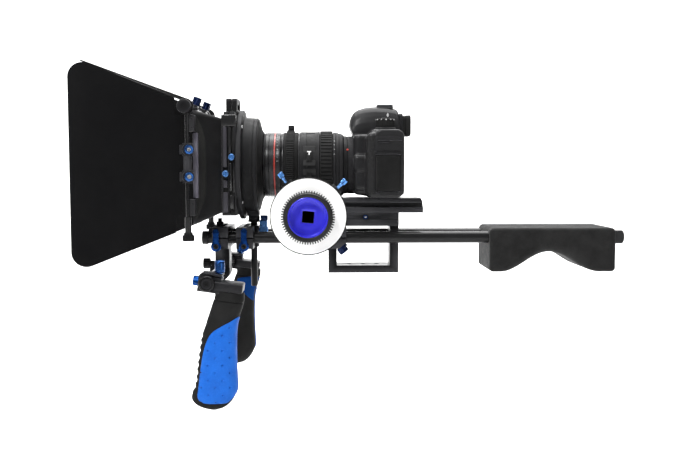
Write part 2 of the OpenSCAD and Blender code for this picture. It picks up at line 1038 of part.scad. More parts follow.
// Rear cover of the camera with screen frame and eyepiece block
module camera_back() {
  yl = -body_left;
  yr = body_right;
  color(black)
    difference() {
      union() {
        bx(46, 49, yl + 9, yr - 9, 101, 176);
        bx(46, 50, -21, 21, 170, 203);
        bx(49, 50.2, -44, 24, 104, 156);
      }
      bx(49.4, 51, -40, 20, 108, 152);
      bx(44, 52, -12, 12, 181, 197);
      cx(45, 60, 2 + fit, 55, 133);
    }
}

// Soft cup round the eyepiece
module eyecup() {
  color(black)
    difference() {
      round_z(50, 60.3, -20, 20, 176, 202, 3);
      bx(49, 62, -13, 13, 182, 196);
    }
}

// Ribbed dial on the left shoulder
module mode_dial() {
  color(black)
    translate([26, 21 - body_left, 0])
      difference() {
        union() {
          cz(184.3, 196.7, 11.7, 0, 0);
          cz(174, 184.3, 2, 0, 0);
        }
        for (a = [0 : 15 : 345])
          cz(184, 194.5, 0.7, 11.9 * cos(a), 11.9 * sin(a));
      }
}

// Large thumb wheel on the back of the camera
module rear_dial() {
  color(black)
    difference() {
      union() {
        cx(49.3, 52.3, 15, 55, 133);
        cx(46.2, 49.3, 2, 55, 133);
      }
      cx(51.5, 53, 7, 55, 133);
    }
}

// Shutter release on top of the hand grip
module shutter_button() {
  color(dark)
    translate([-10, body_right - 18, 0]) {
      cz(160, 174, 3, 0, 0);
      cz(174, 176, 5.5, 0, 0);
    }
}

// Rubber door over the sockets on the left end
module terminal_cover() {
  yl = -body_left;
  color(dark)
    difference() {
      union() {
        bx(14.3, 43.2, yl - 1.2, yl + 0.8, 106, 150);
        cz(106, 150, 1, 14.3, yl - 0.2);
      }
      for (z = [122, 134])
        bx(18, 38, yl - 1.5, yl - 0.7, z - 0.4, z + 0.4);
    }
}

// Fixed tube of the lens with its shoulders and glass
module lens_barrel() {
  color(black)
    difference() {
      union() {
        kx(-126.3, -124, 40.5, 41.5, 0, lens_z);
        cx(-124, -112.5, 41.5, 0, lens_z);
        cx(-112.5, -100.9, 41.2, 0, lens_z);
        cx(-100.9, -82.6, 38, 0, lens_z);
        cx(-82.6, -80.6, 41.2, 0, lens_z);
        cx(-80.6, -55.5, 42.3, 0, lens_z);
        cx(-55.5, -38.7, 40, 0, lens_z);
        kx(-38.7, -25, 42, 38, 0, lens_z);
        cx(-25, -10, 37, 0, lens_z);
        cx(-10, -4, 24, 0, lens_z);
        translate([0, 0, lens_z])
          rotate([-38, 0, 0])
            bx(-77.4, -60.5, -43.6, -30, -11, 11);
      }
      cx(-127, -118, 36.5, 0, lens_z);
      cx(-119, -109, 34, 0, lens_z);
      cx(-110, -30, 33, 0, lens_z);
      cx(-31, -21, 17, 0, lens_z);
      cx(-22, -3, 20, 0, lens_z);
    }
}

// Front and rear glass of the lens
module lens_glass() {
  color([0.3, 0.35, 0.45, 0.5]) {
    cx(-117.5, -110.5, 34, 0, lens_z);
    cx(-29.5, -22.5, 17, 0, lens_z);
  }
}

// Rotating focus ring of the lens, with the clamped gear round it
module focus_ring() {
  color(black)
    difference() {
      union() {
        cx(-100.6, -82.9, 41.8, 0, lens_z);
        translate([-97.6, 0, lens_z])
          rotate([0, 90, 0])
            linear_extrude(height = 9.8)
              polygon(spur(ring_teeth, gear_m));
        bx(-96, -88, -7, 7, lens_z + 42, lens_z + 50.5);
      }
      cx(-101, -82, 38 + fit, 0, lens_z);
      bx(-98, -87, -0.8, 0.8, lens_z + 42.8, lens_z + 51);
      cy(-8, 8, 1.6, -92, lens_z + 47);
    }
}

// Ribbed zoom ring of the lens
module zoom_ring() {
  color(black)
    difference() {
      cx(-55.2, -39, 43.5, 0, lens_z);
      cx(-56, -38, 40 + fit, 0, lens_z);
      for (a = [0 : 10 : 350])
        translate([-53.5, 43.9 * cos(a), lens_z + 43.9 * sin(a)])
          rotate([0, 90, 0])
            cylinder(h = 12.5, r = 1);
    }
}

left_rod();
right_rod();
rod_end_caps();
riser_frame();
riser_rod_clamps();
riser_thumb_screws();
plate_base();
plate_lock_screw();
handle_bracket();
bracket_lever();
cross_arm();
arm_lock_knob();
left_handle_mount();
left_grip();
left_grip_rubber();
left_handle_screw();
left_handle_knob();
right_handle_mount();
right_grip();
right_grip_rubber();
right_handle_screw();
right_handle_knob();
pad_core();
pad_foam();
matte_clamp();
matte_lever();
matte_post();
post_lock_lever();
lens_donut();
matte_housing();
filter_stages();
tray_lock_screws();
front_tray();
rear_tray();
hood();
hinge_brackets();
flag_hinge_rods();
top_flag();
left_flag();
right_flag();
focus_body();
hard_stop_screws();
focus_bearings();
wheel_shaft();
wheel_hub();
wheel_knob();
marking_disc();
drive_gear();
camera_plate();
camera_body();
camera_back();
eyecup();
mode_dial();
rear_dial();
shutter_button();
terminal_cover();
lens_barrel();
lens_glass();
focus_ring();
zoom_ring();
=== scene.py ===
import bpy
import bmesh
import math
from mathutils import Matrix, Vector


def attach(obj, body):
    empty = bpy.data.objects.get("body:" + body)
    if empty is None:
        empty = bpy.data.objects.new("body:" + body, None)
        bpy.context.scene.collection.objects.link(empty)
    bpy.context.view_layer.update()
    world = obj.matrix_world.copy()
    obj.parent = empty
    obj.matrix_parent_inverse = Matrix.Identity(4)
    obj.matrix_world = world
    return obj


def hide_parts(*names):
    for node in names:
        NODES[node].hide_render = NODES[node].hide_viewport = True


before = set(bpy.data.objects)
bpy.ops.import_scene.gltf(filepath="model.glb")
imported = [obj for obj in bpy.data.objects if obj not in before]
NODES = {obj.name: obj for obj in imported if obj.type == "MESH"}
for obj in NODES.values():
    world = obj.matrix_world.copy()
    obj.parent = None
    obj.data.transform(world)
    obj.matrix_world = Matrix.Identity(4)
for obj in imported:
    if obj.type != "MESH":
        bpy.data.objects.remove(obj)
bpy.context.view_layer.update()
MM = 0.001
TAU = 2 * math.pi
# places on the rig, in millimetres
ROD_Y, ROD_Z = 30, 46.5
ARM_X, ARM_Z = -184.3, 2
POST_X = -141
SIDE_HINGE_X, SIDE_HINGE_Y = -210, 102
TOP_HINGE = (-212.5, 0, 206)
HAND_Y = 123.0
MOUNT_HALF = 12.5
GRIP_FOOT = -146.4
WX, WZ = -68.0, 78.0
LZ = 138.0

# ---------------------------------------------------------------- camera
cam_data = bpy.data.cameras.new("camera")
cam_data.lens = 45.26
cam_data.sensor_width = 36.0
cam_data.clip_start = 0.02
cam = bpy.data.objects.new("camera", cam_data)
cam.location = (-0.0452, -1.142, 0.1341)
cam.rotation_euler = (math.radians(90 - 4.257), 0, math.radians(-1.432))
bpy.context.scene.collection.objects.link(cam)
bpy.context.scene.camera = cam
bpy.context.scene.view_settings.view_transform = "Standard"


# ------------------------------------------------------------- materials
class Mat:
    """A small builder of procedural materials around one Principled shader."""

    def __init__(self, name, **sockets):
        self.mat = bpy.data.materials.new(name)
        self.mat.use_nodes = True
        self.nt = self.mat.node_tree
        self.p = self.nt.nodes["Principled BSDF"]
        self.coord = self.node("ShaderNodeTexCoord")
        self.bump_in = None
        for k, v in sockets.items():
            self.p.inputs[k.replace("_", " ")].default_value = v

    def node(self, kind, **values):
        n = self.nt.nodes.new(kind)
        for k, v in values.items():
            if k in n.inputs:
                n.inputs[k].default_value = v
            else:
                setattr(n, k, v)
        return n

    def link(self, a, b):
        self.nt.links.new(a, b)

    def noise(self, scale, detail=3.0, rough=0.55, stretch=None):
        n = self.node("ShaderNodeTexNoise", Scale=scale, Detail=detail, Roughness=rough)
        self.link(self.place(stretch), n.inputs["Vector"])
        return n.outputs["Fac"]

    def place(self, stretch=None):
        if stretch is None:
            return self.coord.outputs["Object"]
        m = self.node("ShaderNodeMapping")
        m.inputs["Scale"].default_value = stretch
        self.link(self.coord.outputs["Object"], m.inputs["Vector"])
        return m.outputs["Vector"]

    def voronoi(self, scale, feature="F1", out="Distance"):
        n = self.node("ShaderNodeTexVoronoi", feature=feature)
        n.inputs["Scale"].default_value = scale
        self.link(self.coord.outputs["Object"], n.inputs["Vector"])
        return n.outputs[out]

    def remap(self, src, a, b, lo, hi):
        n = self.node("ShaderNodeMapRange")
        for k, v in zip(("From Min", "From Max", "To Min", "To Max"), (a, b, lo, hi)):
            n.inputs[k].default_value = v
        self.link(src, n.inputs["Value"])
        return n.outputs["Result"]

    def ramp(self, src, *stops):
        n = self.node("ShaderNodeValToRGB")
        els = n.color_ramp.elements
        els[0].position, els[0].color = stops[0][0], (*stops[0][1], 1)
        els[1].position, els[1].color = stops[-1][0], (*stops[-1][1], 1)
        for pos, col in stops[1:-1]:
            e = els.new(pos)
            e.color = (*col, 1)
        self.link(src, n.inputs["Fac"])
        return n.outputs["Color"]

    def mix(self, fac, a, b, kind="MIX"):
        n = self.node("ShaderNodeMix", data_type="RGBA", blend_type=kind)
        for i, v in ((0, fac), (6, a), (7, b)):
            if hasattr(v, "is_linked"):
                self.link(v, n.inputs[i])
            else:
                n.inputs[i].default_value = v if i == 0 else (*v, 1)
        return n.outputs[2]

    def math(self, op, a, b=0.0):
        n = self.node("ShaderNodeMath", operation=op)
        for i, v in ((0, a), (1, b)):
            if hasattr(v, "is_linked"):
                self.link(v, n.inputs[i])
            else:
                n.inputs[i].default_value = v
        return n.outputs[0]

    def edges(self, lo=0.52, hi=0.6):
        g = self.node("ShaderNodeNewGeometry")
        return self.remap(g.outputs["Pointiness"], lo, hi, 0.0, 1.0)

    def bump(self, height, strength, distance):
        n = self.node("ShaderNodeBump", Strength=strength, Distance=distance)
        self.link(height, n.inputs["Height"])
        if self.bump_in is not None:
            self.link(self.bump_in, n.inputs["Normal"])
        self.bump_in = n.outputs["Normal"]
        self.link(self.bump_in, self.p.inputs["Normal"])

    def color(self, out):
        self.link(out, self.p.inputs["Base Color"])

    def rough(self, out):
        self.link(out, self.p.inputs["Roughness"])


def anodised(name, dark, light, metal=0.6, lo=0.28, hi=0.46, grain=900.0, stretch=None,
             wear=(0.11, 0.11, 0.12), grit=0.1, spec=0.2):
    m = Mat(name, Metallic=metal, Specular_IOR_Level=spec)
    tone = m.ramp(m.noise(38.0, 4.0), (0.3, dark), (0.7, light))
    m.color(m.mix(m.math("MULTIPLY", m.edges(), 0.55), tone, wear))
    m.rough(m.remap(m.noise(120.0, 3.0), 0.3, 0.7, lo, hi))
    m.bump(m.noise(grain, 2.0, 0.6, stretch), grit, 0.0002)
    return m.mat


def moulded(name, dark, light, cell=1500.0, depth=0.25, lo=0.42, hi=0.6, coat=0.0, wear=(0.07, 0.07, 0.075),
            spec=0.08):
    m = Mat(name, Metallic=0.0, Specular_IOR_Level=spec, Coat_Weight=coat, Coat_Roughness=0.25)
    tone = m.ramp(m.noise(26.0, 4.0), (0.3, dark), (0.7, light))
    m.color(m.mix(m.math("MULTIPLY", m.edges(), 0.35), tone, wear))
    m.rough(m.remap(m.noise(70.0, 3.0), 0.3, 0.7, lo, hi))
    m.bump(m.voronoi(cell, "SMOOTH_F1"), depth, 0.0003)
    m.bump(m.noise(cell * 0.6, 3.0), depth * 0.6, 0.0002)
    return m.mat


M = {}
M["black_ano"] = anodised("black_anodised", (0.004, 0.004, 0.0045), (0.008, 0.008, 0.009), 0.15, 0.26, 0.42,
                          900.0, None, (0.06, 0.06, 0.065), 0.08, 0.13)
M["rod"] = anodised("rod_black", (0.007, 0.007, 0.0075), (0.010, 0.010, 0.0105), 0.0, 0.16, 0.2, 300.0,
                    (0.1, 1.0, 1.0), (0.02, 0.02, 0.02), 0.0, 0.14)
M["black_soft"] = anodised("black_satin", (0.004, 0.004, 0.0045), (0.008, 0.008, 0.0085), 0.1, 0.34, 0.46,
                           900.0, None, (0.05, 0.05, 0.055), 0.08, 0.1)
M["grey_ano"] = anodised("grey_anodised", (0.09, 0.092, 0.098), (0.13, 0.133, 0.14), 0.85, 0.3, 0.45)
M["blue_ano"] = anodised("blue_anodised", (0.003, 0.036, 0.165), (0.006, 0.06, 0.25), 0.85, 0.2, 0.34,
                         700.0, None, (0.10, 0.24, 0.56))
M["blue_light"] = anodised("blue_anodised_light", (0.07, 0.22, 0.58), (0.10, 0.29, 0.70), 0.8, 0.22, 0.36,
                           700.0, None, (0.30, 0.50, 0.85))
M["blue_navy"] = anodised("blue_anodised_navy", (0.002, 0.007, 0.034), (0.004, 0.012, 0.058), 0.5, 0.2, 0.3,
                          700.0, None, (0.03, 0.07, 0.18))
M["blue_deep"] = anodised("blue_anodised_deep", (0.003, 0.026, 0.125), (0.006, 0.045, 0.20), 0.85, 0.16,
                          0.28, 700.0, None, (0.07, 0.18, 0.45))
M["strip"] = anodised("strip_violet_grey", (0.12, 0.11, 0.145), (0.17, 0.16, 0.20), 0.25, 0.35, 0.5)
M["steel_dark"] = anodised("steel_darkened", (0.16, 0.16, 0.17), (0.24, 0.24, 0.25), 1.0, 0.14, 0.22, 400.0,
                           None, (0.4, 0.4, 0.4), 0.03)
M["steel"] = anodised("steel_turned", (0.5, 0.5, 0.51), (0.66, 0.66, 0.67), 1.0, 0.2, 0.34, 600.0, None,
                      (0.8, 0.8, 0.8))
M["plastic"] = moulded("black_moulded", (0.006, 0.006, 0.0065), (0.012, 0.012, 0.0125))
M["plastic_soft"] = moulded("black_moulded_soft", (0.013, 0.013, 0.013), (0.022, 0.022, 0.021), 1100.0, 0.2,
                            0.5, 0.66)
M["camera_paint"] = moulded("camera_paint", (0.009, 0.009, 0.0095), (0.016, 0.016, 0.017), 2300.0, 0.28,
                            0.38, 0.5, 0.12, (0.08, 0.08, 0.085), 0.12)
M["lens_paint"] = moulded("lens_paint", (0.006, 0.006, 0.0065), (0.012, 0.012, 0.0125), 2100.0, 0.1, 0.24,
                          0.36, 0.12, (0.08, 0.08, 0.085), 0.12)
M["gloss_black"] = moulded("black_gloss", (0.004, 0.004, 0.0045), (0.007, 0.007, 0.0075), 900.0, 0.03, 0.1,
                           0.18, 0.4, (0.05, 0.05, 0.05), 0.2)
M["stage_grey"] = moulded("stage_grey_moulded", (0.022, 0.021, 0.026), (0.036, 0.034, 0.042), 1200.0, 0.12,
                          0.3, 0.45, 0.2)
# grey for thin lines that are painted highlights on the camera's side edges
M["painted_highlight_grey"] = moulded("painted_highlight_grey_moulded", (0.05, 0.05, 0.054), (0.075, 0.075, 0.08), 1200.0, 0.1, 0.3,
                         0.45, 0.1)
M["rubber"] = moulded("black_rubber", (0.007, 0.007, 0.007), (0.013, 0.013, 0.013), 900.0, 0.3, 0.6, 0.78,
                      0.0, (0.04, 0.04, 0.04))
M["knurl"] = moulded("knob_black", (0.009, 0.009, 0.0095), (0.016, 0.016, 0.017), 1400.0, 0.15, 0.3, 0.44,
                     0.12)


def leatherette():
    m = Mat("camera_leatherette", Specular_IOR_Level=0.12)
    m.color(m.ramp(m.voronoi(800.0), (0.0, (0.022, 0.022, 0.023)), (0.8, (0.010, 0.010, 0.010))))
    m.rough(m.remap(m.noise(200.0), 0.3, 0.7, 0.5, 0.7))
    m.bump(m.voronoi(800.0, "SMOOTH_F1"), 0.7, 0.0006)
    return m.mat


def grip_blue(name="grip_blue_rubber", tint=1.0):
    m = Mat(name, Specular_IOR_Level=0.14 * tint, Coat_Weight=0.06 * tint, Coat_Roughness=0.35)
    tone = m.ramp(m.noise(60.0, 5.0), (0.25, (0.003 * tint, 0.080 * tint, 0.40 * tint)),
                  (0.75, (0.006 * tint, 0.115 * tint, 0.52 * tint)))
    dust = m.remap(m.noise(600.0, 4.0), 0.5, 0.75, 0.0, 0.35)
    m.color(m.mix(dust, tone, (0.012 * tint, 0.15 * tint, 0.62 * tint)))
    m.rough(m.remap(m.noise(90.0), 0.3, 0.7, 0.48, 0.64))
    m.bump(m.voronoi(1300.0, "SMOOTH_F1"), 0.35, 0.0004)
    return m.mat


def foam_mat():
    m = Mat("pad_foam_black", Specular_IOR_Level=0.1, Sheen_Weight=0.04, Sheen_Roughness=0.6)
    tone = m.ramp(m.noise(50.0, 6.0, 0.65), (0.3, (0.005, 0.005, 0.005)), (0.72, (0.014, 0.014, 0.014)))
    speck = m.remap(m.voronoi(1500.0), 0.0, 0.5, 0.5, 0.0)
    m.color(m.mix(speck, tone, (0.004, 0.004, 0.004)))
    m.rough(m.remap(m.noise(110.0), 0.3, 0.7, 0.62, 0.85))
    m.bump(m.noise(28.0, 5.0, 0.6), 0.35, 0.002)
    m.bump(m.voronoi(1500.0, "SMOOTH_F1"), 0.45, 0.0005)
    return m.mat


def wheel_blue():
    m = Mat("wheel_blue_gloss", Metallic=0.25, Specular_IOR_Level=0.4, Coat_Weight=0.25,
            Coat_Roughness=0.12)
    m.color(m.ramp(m.noise(30.0, 2.0), (0.3, (0.026, 0.022, 0.52)), (0.7, (0.032, 0.028, 0.60))))
    m.rough(m.remap(m.noise(60.0), 0.3, 0.7, 0.28, 0.32))
    return m.mat


def disc_white():
    # Emission_Strength below is painted light: a faint white glow that lifts the shade the ribbed ring casts
    # on the disc
    m = Mat("disc_white_satin_painted_glow", Specular_IOR_Level=0.5, Coat_Weight=0.2, Coat_Roughness=0.3,
            Emission_Strength=0.12)
    tone = m.ramp(m.noise(14.0, 3.0), (0.3, (0.80, 0.79, 0.80)), (0.7, (0.88, 0.88, 0.86)))
    smudge = m.remap(m.noise(160.0, 6.0, 0.7), 0.6, 0.8, 0.0, 0.25)
    m.color(m.mix(smudge, tone, (0.70, 0.70, 0.70)))
    m.rough(m.remap(m.noise(80.0, 4.0), 0.3, 0.7, 0.26, 0.42))
    m.bump(m.noise(900.0, 2.0), 0.06, 0.0001)
    return m.mat


def flag_mat():
    m = Mat("flag_flat_black", Metallic=0.1, Specular_IOR_Level=0.08)
    m.color(m.ramp(m.noise(9.0, 6.0, 0.7), (0.35, (0.0022, 0.0022, 0.0026)),
                   (0.75, (0.0042, 0.0042, 0.0044))))
    m.rough(m.remap(m.noise(24.0, 5.0), 0.3, 0.7, 0.55, 0.72))
    m.bump(m.noise(1800.0, 2.0), 0.25, 0.0002)
    return m.mat


def plain(name, dark, light, lo, hi, **sockets):
    m = Mat(name, **sockets)
    m.color(m.ramp(m.noise(80.0, 4.0), (0.3, dark), (0.7, light)))
    m.rough(m.remap(m.noise(140.0), 0.3, 0.7, lo, hi))
    m.bump(m.noise(1200.0, 2.0), 0.08, 0.0001)
    return m.mat


def glass_mat():
    m = Mat("lens_glass_coated", Transmission_Weight=0.85, IOR=1.5, Coat_Weight=0.5, Coat_Roughness=0.02)
    m.color(m.ramp(m.noise(20.0, 2.0), (0.3, (0.30, 0.22, 0.42)), (0.7, (0.20, 0.34, 0.40))))
    m.rough(m.remap(m.noise(60.0), 0.3, 0.7, 0.01, 0.04))
    return m.mat


M["leather"] = leatherette()
M["grip_blue"] = grip_blue()
M["grip_navy"] = grip_blue("grip_navy_rubber", 0.3)
M["foam"] = foam_mat()
M["wheel_blue"] = wheel_blue()
M["white"] = disc_white()
M["flag"] = flag_mat()
M["red"] = plain("red_paint", (0.26, 0.018, 0.012), (0.34, 0.028, 0.016), 0.25, 0.4)
M["mark"] = plain("mark_paint", (0.62, 0.62, 0.62), (0.74, 0.74, 0.74), 0.4, 0.55)
M["screen"] = plain("screen_glass", (0.004, 0.004, 0.005), (0.008, 0.008, 0.010), 0.05, 0.1,
                    Coat_Weight=0.5)
M["glass"] = glass_mat()


# ---------------------------------------------------------- mesh helpers
def obj_from(bm, name, mat, body, nodes=(), bevel=0.0, segs=2, angle=35.0):
    """Turns a bmesh in millimetres into a finished piece riding on a body."""
    bmesh.ops.recalc_face_normals(bm, faces=bm.faces)
    me = bpy.data.meshes.new(name)
    bmesh.ops.scale(bm, vec=(MM, MM, MM), verts=bm.verts)
    bm.to_mesh(me)
    bm.free()
    ob = bpy.data.objects.new(name, me)
    bpy.context.scene.collection.objects.link(ob)
    me.materials.append(M[mat])
    if bevel:
        b = ob.modifiers.new("bevel", "BEVEL")
        b.width = bevel * MM
        b.segments = segs
        b.limit_method = "ANGLE"
        b.angle_limit = math.radians(angle)
        b.harden_normals = False
        b.use_clamp_overlap = True
    apply_all(ob)
    shade(ob, angle)
    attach(ob, body)
    if nodes:
        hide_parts(*nodes)
    return ob


def apply_all(ob):
    """Bakes the modifiers of an object into its mesh."""
    if not ob.modifiers:
        return
    dg = bpy.context.evaluated_depsgraph_get()
    me = bpy.data.meshes.new_from_object(ob.evaluated_get(dg))
    ob.modifiers.clear()
    old = ob.data
    ob.data = me
    bpy.data.meshes.remove(old)


def shade(ob, angle=35.0):
    """Smooth shading with edges sharper than the angle kept crisp."""
    me = ob.data
    me.polygons.foreach_set("use_smooth", [True] * len(me.polygons))
    me.set_sharp_from_angle(angle=math.radians(angle))


AX = {
    "x": Matrix(((0, 0, 1), (1, 0, 0), (0, 1, 0))),
    "-x": Matrix(((0, 0, -1), (1, 0, 0), (0, 1, 0))),
    "y": Matrix(((1, 0, 0), (0, 0, 1), (0, 1, 0))),
    "-y": Matrix(((1, 0, 0), (0, 0, -1), (0, 1, 0))),
    "z": Matrix.Identity(3),
}


def wall(bm, ra, rb):
    """Faces between two rings of the same number of vertices."""
    n = len(ra)
    for i in range(n):
        j = (i + 1) % n
        bm.faces.new((ra[i], ra[j], rb[j], rb[i]))


def lathe(bm, profile, axis="x", at=(0, 0, 0), n=96, rib=None, closed=True, turn=None):
    """Revolves (along, radius) points. rib(i, angle, along, radius) may change a radius."""
    basis = turn if turn is not None else AX[axis]
    at = Vector(at)
    rings = []
    for k, (h, r) in enumerate(profile):
        ring = []
        for i in range(n):
            a = TAU * i / n
            rad = rib(k, a, h, r) if rib else r
            ring.append(bm.verts.new(at + basis @ Vector((rad * math.cos(a), rad * math.sin(a), h))))
        rings.append(ring)
    for ra, rb in zip(rings, rings[1:]):
        wall(bm, ra, rb)
    if closed:
        wall(bm, rings[-1], rings[0])
    else:
        bm.faces.new(rings[0])
        bm.faces.new(list(reversed(rings[-1])))


def solid(bm, profile, axis="x", at=(0, 0, 0), n=64, rib=None, turn=None):
    """A turned solid whose ends are closed by flat faces."""
    lathe(bm, profile, axis, at, n, rib, False, turn)


def pin(bm, h0, h1, r, axis="x", at=(0, 0, 0), n=48, c=0.4, turn=None):
    """A round bar with chamfered ends."""
    solid(bm, [(h0, r - c), (h0 + c, r), (h1 - c, r), (h1, r - c)], axis, at, n, None, turn)


def prism(bm, pts, axis="y", d0=0.0, d1=1.0, at=(0, 0, 0), turn=None):
    """A flat outline given a thickness: the outline's two axes, then d0 to d1 along the third."""
    basis = turn if turn is not None else AX[axis]
    at = Vector(at)
    lo = [bm.verts.new(at + basis @ Vector((p[0], p[1], d0))) for p in pts]
    hi = [bm.verts.new(at + basis @ Vector((p[0], p[1], d1))) for p in pts]
    wall(bm, lo, hi)
    bm.faces.new(lo)
    bm.faces.new(list(reversed(hi)))


def block(bm, x0, x1, y0, y1, z0, z1, r=0.0, segs=3, turn=None, at=(0, 0, 0)):
    """A box with every edge rounded by r."""
    b = bmesh.new()
    bmesh.ops.create_cube(b, size=1.0)
    for v in b.verts:
        v.co = Vector((x0 + (v.co.x + 0.5) * (x1 - x0), y0 + (v.co.y + 0.5) * (y1 - y0),
                       z0 + (v.co.z + 0.5) * (z1 - z0)))
    if r:
        bmesh.ops.bevel(b, geom=b.edges[:], offset=r, segments=segs, profile=0.5, affect="EDGES",
                        clamp_overlap=True)
    if turn is not None:
        bmesh.ops.rotate(b, cent=(0, 0, 0), matrix=turn, verts=b.verts)
    bmesh.ops.translate(b, vec=at, verts=b.verts)
    merge(bm, b)


def flank(bm, s, x0, x1, y0, y1, *rest):
    """A block on the side s of the rig, given by its distances from the middle plane."""
    block(bm, x0, x1, min(s * y0, s * y1), max(s * y0, s * y1), *rest)


def merge(bm, other):
    """Adds one bmesh to another."""
    me = bpy.data.meshes.new("part")
    other.to_mesh(me)
    other.free()
    bm.from_mesh(me)
    bpy.data.meshes.remove(me)


def rounded(w, h, r, n=6, cx=0.0, cy=0.0):
    """Outline of a rounded rectangle of half sizes w and h."""
    pts = []
    for qx, qy, a0 in ((1, 1, 0), (-1, 1, 90), (-1, -1, 180), (1, -1, 270)):
        for i in range(n + 1):
            a = math.radians(a0 + 90 * i / n)
            pts.append((cx + qx * (w - r) + r * math.cos(a), cy + qy * (h - r) + r * math.sin(a)))
    return pts


def at_depth(axis, p, d):
    """Point p of a flat outline, at a depth along the axis."""
    return Vector({"x": (d, p[0], p[1]), "y": (p[0], d, p[1]), "z": (p[0], p[1], d)}[axis])


def window(bm, axis, layers):
    """A closed frame around an opening, from outlines at their depths."""
    rings = [[bm.verts.new(at_depth(axis, p, d)) for p in pts] for pts, d in layers]
    for ra, rb in zip(rings, rings[1:] + rings[:1]):
        wall(bm, ra, rb)


def loft(bm, rings, closed_ring=True, caps=True):
    """Joins rings of the same number of points."""
    vr = [[bm.verts.new(Vector(p)) for p in ring] for ring in rings]
    n = len(rings[0])
    for ra, rb in zip(vr, vr[1:]):
        for i in range(n if closed_ring else n - 1):
            j = (i + 1) % n
            bm.faces.new((ra[i], ra[j], rb[j], rb[i]))
    if caps:
        bm.faces.new(vr[0])
        bm.faces.new(list(reversed(vr[-1])))
    return vr


def flutes(count, depth, h0, h1, sharp=0.35):
    """Radius rule for a fluted grip between two heights."""
    def rule(k, a, h, r):
        if h < h0 or h > h1:
            return r
        s = 0.5 + 0.5 * math.cos(count * a)
        return r - depth * (s ** sharp if s > 0 else 0)
    return rule


def voxel_join(bm, size, smooth_passes=2, factor=0.5):
    """Welds overlapping closed shells into one skin."""
    me = bpy.data.meshes.new("work")
    bm.to_mesh(me)
    bm.free()
    ob = bpy.data.objects.new("work", me)
    bpy.context.scene.collection.objects.link(ob)
    remesh = ob.modifiers.new("remesh", "REMESH")
    remesh.mode = "VOXEL"
    remesh.voxel_size = size
    remesh.adaptivity = 0.0
    apply_all(ob)
    out = bmesh.new()
    out.from_mesh(ob.data)
    for _ in range(smooth_passes):
        bmesh.ops.smooth_vert(out, verts=out.verts, factor=factor, use_axis_x=True, use_axis_y=True,
                              use_axis_z=True)
    me = ob.data
    bpy.data.objects.remove(ob)
    bpy.data.meshes.remove(me)
    return out


def from_cad(node, name, mat, body, bevel=0.4, segs=2, angle=32.0, edit=None):
    """A finished copy of a CAD node: welded, cleaned and with softened edges."""
    bm = bmesh.new()
    bm.from_mesh(NODES[node].data)
    bmesh.ops.scale(bm, vec=(1 / MM, 1 / MM, 1 / MM), verts=bm.verts)
    bmesh.ops.remove_doubles(bm, verts=bm.verts, dist=0.002)
    bmesh.ops.dissolve_limit(bm, angle_limit=math.radians(1.0), verts=bm.verts, edges=bm.edges)
    if edit:
        edit(bm)
    return obj_from(bm, name, mat, body, (node,), bevel, segs, angle)


def heading(d):
    """Rotation that turns local Z to direction d."""
    return Vector(d).normalized().to_track_quat("Z", "Y").to_matrix()


def hex_pts(r):
    """Corners of a hexagon."""
    return [(r * math.cos(math.radians(60 * i)), r * math.sin(math.radians(60 * i))) for i in range(6)]


def socket_cap(bm, at, d, r, h, key):
    """Cap screw head with a hexagonal socket; its base sits at the point and it grows along d."""
    turn = heading(d)
    ring = 36
    prof = [(0, r), (h - 0.4, r), (h, r - 0.4), (h, key * 1.25), (h - 0.15, key * 1.18)]
    at = Vector(at)
    rows = []
    for z, rad in prof:
        rows.append([at + turn @ Vector((rad * math.cos(TAU * i / ring), rad * math.sin(TAU * i / ring),
                                         z)) for i in range(ring)])
    for depth in (h - 0.15, h * 0.35):
        row = []
        for i in range(ring):
            a = TAU * i / ring
            seg = (a % (TAU / 6)) - TAU / 12
            rad = key * math.cos(TAU / 12) / math.cos(seg)
            row.append(at + turn @ Vector((rad * math.cos(a), rad * math.sin(a), depth)))
        rows.append(row)
    loft(bm, rows)


def fluted(bm, at, d, r, h, count=12, depth=0.9, dish=0.0, n=144):
    """Fluted knob head standing on a point and growing along d."""
    rule = flutes(count, depth, 0.7, h - 0.7)
    prof = [(0, r * 0.78), (0.5, r * 0.93), (0.9, r), (h - 0.9, r), (h - 0.3, r * 0.95), (h, r * 0.86)]
    if dish:
        prof += [(h, r * 0.62), (h - dish, r * 0.5)]
    solid(bm, prof, at=at, n=n, rib=rule, turn=heading(d))


# ------------------------------------------------------------------ rods
for side, y in (("left", -ROD_Y), ("right", ROD_Y)):
    bm = bmesh.new()
    lathe(bm, [(-196, 7.1), (-195.6, 7.5), (317.6, 7.5), (318, 7.1), (318, 5.8), (-196, 5.8)], "x",
          (0, y, ROD_Z), 96)
    obj_from(bm, side + "_rod_tube", "rod", "frame", (side + "_rod",))

bm = bmesh.new()
for y in (-ROD_Y, ROD_Y):
    solid(bm, [(-204, 5.2), (-203.6, 7.6), (-203, 8.65), (-202.2, 8.3), (-201.4, 8.65), (-197.0, 8.65),
               (-196.3, 8.2), (-196, 7.2)],
          "x", (0, y, ROD_Z), 120, flutes(40, 0.35, -201.5, -196.9))
    pin(bm, -196, -186, 5.75, "x", (0, y, ROD_Z))
    solid(bm, [(318, 7.4), (318.4, 8.3), (319, 8.5), (329.6, 8.5), (330.6, 7.8), (331, 6.9), (331, 4.2),
               (329.6, 3.9), (329.6, 2.0)],
          "x", (0, y, ROD_Z), 144, flutes(36, 0.5, 318.8, 329.7))
    pin(bm, 308, 318, 5.75, "x", (0, y, ROD_Z))
obj_from(bm, "rod_end_caps_knurled", "knurl", "frame", ("rod_end_caps",))

# ----------------------------------------------------------------- riser
from_cad("riser_frame", "riser_frame_milled", "black_ano", "frame", 0.6)
from_cad("riser_rod_clamps", "riser_clamp_blocks", "black_ano", "frame", 0.6)
from_cad("plate_base", "plate_base_block", "black_ano", "frame", 0.5)


